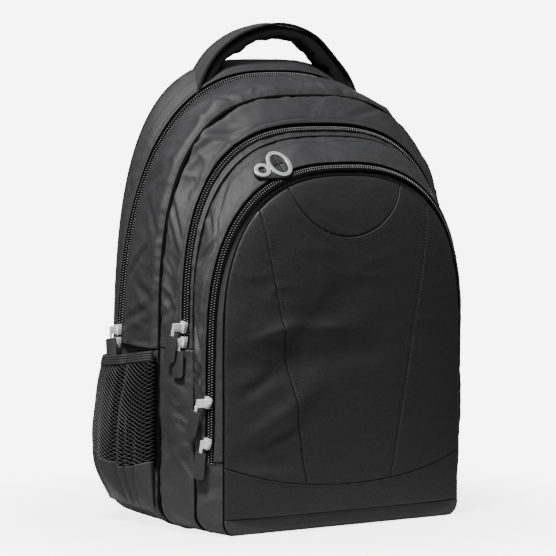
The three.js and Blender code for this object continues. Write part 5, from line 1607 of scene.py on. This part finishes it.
def back_pad_grid():
    s, foot = seam["back"], BASE_REAR + SEAM
    ring = outline_of(s, SEAM + 1, foot + 1, 260)
    shares = 1 - (1 - np.linspace(0, 1, 44)) ** 1.6
    shares[0] = PAD_HOLE
    flat = PAD_MIDDLE + (ring - PAD_MIDDLE) * shares[:, None, None]
    x, z = flat[..., 0], flat[..., 1]
    gap = (1 - shares[:, None]) * np.linalg.norm(ring - PAD_MIDDLE, axis=1)
    fill = PAD_BULGE * fullness(s, x, z, foot, 4) - edge_dip(gap, 3.4, 9)
    for place in CHANNELS:
        dip = np.exp(-(((x - place) / CHANNEL_HALF) ** 2))
        fill = fill - CHANNEL_DEPTH * dip * np.clip(gap / 14, 0, 1)
    fill = fill + 0.5 * smooth_noise(x / 45 + 7, z / 45, SEEDS["back_pad"])
    return np.stack([x, depth_at(s, z) + fill, z], -1)


def closed_middle(mesh):
    """Fills the small hole that the back pad's columns leave between them, with all faces to the back."""
    height = PAD_MIDDLE[1] * MM
    made = bmesh.new()
    made.from_mesh(mesh)
    ring = [e for e in made.edges if e.is_boundary and abs(e.verts[0].co.z - height) < 20 * MM
            and e.calc_length() < 4 * MM]
    bmesh.ops.holes_fill(made, edges=ring)
    bmesh.ops.recalc_face_normals(made, faces=made.faces)
    made.to_mesh(mesh)
    made.free()
    if np.mean([f.normal.y for f in mesh.polygons]) < 0:
        mesh.flip_normals()
    smooth(mesh)


def add_back_panel():
    grid = back_pad_grid()
    mesh = grid_mesh("back_pad", grid, grid[..., 0].copy(), grid[..., 2].copy(), flip=True, closed=True)
    closed_middle(mesh)
    piece = solidify(new_object("back_panel_pad", mesh, FINISH["pad"]), PAD_EDGE - 1.6)
    ride(piece, "air_mesh", "back_panel")


def add_piping():
    s = seam["back"]
    rim = outline_of(s, PIPING_INSET, BASE_REAR + SEAM + 1, 320)
    line = np.stack([rim[:, 0], depth_at(s, rim[:, 1]), rim[:, 1]], 1)
    line = np.vstack([line, line[:2]])
    cord = strap_mesh("piping", line, *path_frames(line, (0, 1, 0)), 4.0, 3.4, 2, 10)
    ride(new_object("back_piping", cord, FINISH["webbing"]), "webbing")


HEEL, TOE = 8, 6  # radius of the base's bend at the back and at the front


def base_profile():
    """The base from the tuck under the back panel, down, forward and up at the front, as y and z."""
    rear, front = 0, -BAG_DEPTH
    turn = np.linspace(0, math.pi / 2, 12)
    tuck = [[rear - 4, BASE_REAR + 4], [rear - 3, BASE_REAR + 2], [rear - 1, BASE_REAR + 0.4]]
    up_rear = np.stack([np.zeros(8) + rear, np.linspace(BASE_REAR, HEEL + 1, 8)], 1)
    heel = np.stack([rear - HEEL + HEEL * np.cos(turn), HEEL - HEEL * np.sin(turn)], 1)
    flat = np.stack([np.linspace(rear - HEEL - 2, front + TOE + 2, 20), np.zeros(20)], 1)
    toe = np.stack([front + TOE - TOE * np.sin(turn), TOE - TOE * np.cos(turn)], 1)
    up_front = np.stack([np.zeros(8) + front, np.linspace(TOE + 1, BASE_STRIP, 8)], 1)
    return np.vstack([tuck, up_rear, heel, flat, toe, up_front])


def base_half(y, z):
    """Half width of the base along its profile."""
    lines = joint_lines(lambda s: upright(s, LAPTOP_ZIP_END, RIGHT, np.array([0.0, 1.0])))
    feet = np.array([line[1] for line in lines.values()])
    under = np.interp(-y, -feet[:, 1], feet[:, 0])
    at_front = np.where(y < TOE - BAG_DEPTH, half_width_at(seam["front"], z), under)
    return np.where(y > -HEEL, half_width_at(seam["back"], z), at_front) - 2 * SEAM


def add_base():
    profile = base_profile()
    y, z = profile[:, :1], profile[:, 1:]
    p = np.linspace(-1, 1, 70)
    p = 0.5 * p + 0.5 * np.sin(p * math.pi / 2)
    x = base_half(y, z) * p
    waves = 0.5 * smooth_noise(x / 30, z / 20 + y / 90, SEEDS["base"])
    edge = np.clip((z - 1) / 6, 0, 1) * waves
    grid = np.stack([x, y + edge * np.sign(y + BAG_DEPTH / 2), z + 0 * x], -1)
    v = way_along(profile)[:, None] + 0 * x
    mesh = grid_mesh("base", grid, x.copy(), v, flip=True)
    piece = solidify(new_object("base_cloth", mesh, FINISH["shell"]), CLOTH * 0.8)
    ride(piece, "shell_cloth", "base_panel")


# Small rigid pieces, and flat sewn ones, keep the shape of their solids

BEVEL_ANGLE = math.radians(35)  # only edges sharper than this are rounded


def dressed(node, finish, slot, bevel, segments=3):
    """A CAD node's own shape with rounded edges and a finish."""
    mesh = merged_copy(node)
    box_chart(mesh)
    piece = new_object(node + "_finished", mesh, FINISH[finish])
    edge = piece.modifiers.new("Edge", "BEVEL")
    edge.width, edge.segments = bevel * MM, segments
    edge.limit_method, edge.angle_limit = "ANGLE", BEVEL_ANGLE
    edge.harden_normals = True
    smooth(mesh)
    return ride(piece, slot, node)


def add_small_pieces():
    for kind in ZIPS:
        for place in ("upper", "lower"):
            dressed(f"{kind}_slider_{place}", "nickel", "nickel", 0.35)
            dressed(f"{kind}_pull_{place}", "rubber", "rubber", 0.6)
    dressed("cable_port", "patch", "rubber", 0.5)
    dressed("cable_port_trim", "silver", "silver_trim", 0.35)
    for word in ("left", "right"):
        dressed(f"strap_adjuster_{word}", "plastic", "plastic", 0.8)
        dressed(f"strap_loop_{word}", "strap_web", "webbing", 0.3, 2)
        dressed(f"strap_webbing_{word}", "strap_web", "webbing", 0.3, 2)
        dressed(f"strap_anchor_{word}", "shell", "shell_cloth", 0.5, 2)
    for name in ("laptop_partition", "main_partition"):
        dressed(name, "shell", "shell_cloth", 0.3, 1)


# Camera and light

CAMERA_AZIMUTH, CAMERA_ELEVATION = -33.1, 3.9
CAMERA_DISTANCE = 3.096
CAMERA_TARGET = (-0.016, (BACK_EDGE - 100) * MM, 0.2469)
PHOTO_WIDTH, PIXELS_PER_MM = 556, 0.97
SENSOR_WIDTH = 36


def camera():
    """The photograph's view of the bag."""
    azimuth, elevation = math.radians(CAMERA_AZIMUTH), math.radians(CAMERA_ELEVATION)
    back = Vector((
        math.sin(azimuth) * math.cos(elevation),
        -math.cos(azimuth) * math.cos(elevation),
        math.sin(elevation),
    ))
    made = bpy.data.objects.new("camera", bpy.data.cameras.new("camera"))
    bpy.context.scene.collection.objects.link(made)
    made.location = Vector(CAMERA_TARGET) + back * CAMERA_DISTANCE
    made.rotation_mode = "QUATERNION"
    made.rotation_quaternion = (-back).to_track_quat("-Z", "Y")
    made.data.sensor_width = SENSOR_WIDTH
    made.data.lens = PIXELS_PER_MM * CAMERA_DISTANCE / MM / PHOTO_WIDTH * SENSOR_WIDTH
    made.data.clip_end = 20
    bpy.context.scene.camera = made


def lamp(name, place, target, size, power):
    """A soft lamp, its place and target in metres and its power in watts."""
    light = bpy.data.lights.new(name, "AREA")
    light.shape = "RECTANGLE"
    light.size, light.size_y = size
    light.energy = power
    made = bpy.data.objects.new(name, light)
    bpy.context.scene.collection.objects.link(made)
    made.location = place
    way = Vector(target) - Vector(place)
    made.rotation_mode = "QUATERNION"
    made.rotation_quaternion = way.to_track_quat("-Z", "Y")


SKY_DIM, SKY_BRIGHT = 0.27, 7.0
SCREEN_EDGE = (0.962, 0.986)  # cosine of the angle from the screen's middle where its edge fades
SCREEN_DROP = -0.068  # how far its middle lies under the horizon
TABLE_FADE = (0.15, 0.45)  # metres from the bag's middle
TABLE_HALF = 2


def backdrop(far):
    """Soft even light, with a bright white screen in the direction far, behind the bag."""
    world = bpy.data.worlds.new("studio")
    bpy.context.scene.world = world
    world.use_nodes = True
    sky = Nodes(world.node_tree)
    way = sky.node("TexCoord", output="Generated")
    facing = sky.node("VectorMath", {"operation": "DOT_PRODUCT"}, {0: way, 1: far}, "Value")
    screen = sky.smooth_step(facing, *SCREEN_EDGE)
    background = sky.tree.nodes["Background"].inputs
    sky.feed(background["Strength"], screen * (SKY_BRIGHT - SKY_DIM) + SKY_DIM)
    sky.feed(background["Color"], (1, 1, 1, 1))


def table():
    """A white table that fades out around the bag."""
    mesh = bpy.data.meshes.new("table")
    corners = [(a * TABLE_HALF, b * TABLE_HALF, 0) for a, b in ((-1, -1), (1, -1), (1, 1), (-1, 1))]
    mesh.from_pydata(corners, [], [(0, 1, 2, 3)])
    paper = Finish("table", (0.95, 0.95, 0.95), 0.9, Specular_IOR_Level=0.0)
    away = paper.node("VectorMath", {"operation": "LENGTH"}, {0: paper.place()}, "Value")
    paper.set("Alpha", 0.5 - 0.5 * paper.smooth_step(away, *TABLE_FADE))
    new_object("table", mesh, paper.material)


def studio():
    azimuth = math.radians(CAMERA_AZIMUTH)
    backdrop((-math.sin(azimuth), math.cos(azimuth), SCREEN_DROP))
    table()
    lamp("key", (-1.35, -0.85, 2.4), (0, 0, 0.28), (0.45, 0.45), 190)
    lamp("fill", (-1.6, -1.9, 1.9), (0, 0, 0.25), (0.4, 0.4), 30)


add_bands()
add_sides()
add_front()
add_zips()
add_seam_shade_and_piping()
add_stitches()
add_pockets()
add_handle_webbing()
add_handle_grip()
for side, word in SIDES:
    add_strap(side, word)
add_back_panel()
add_piping()
add_base()
add_small_pieces()
camera()
studio()
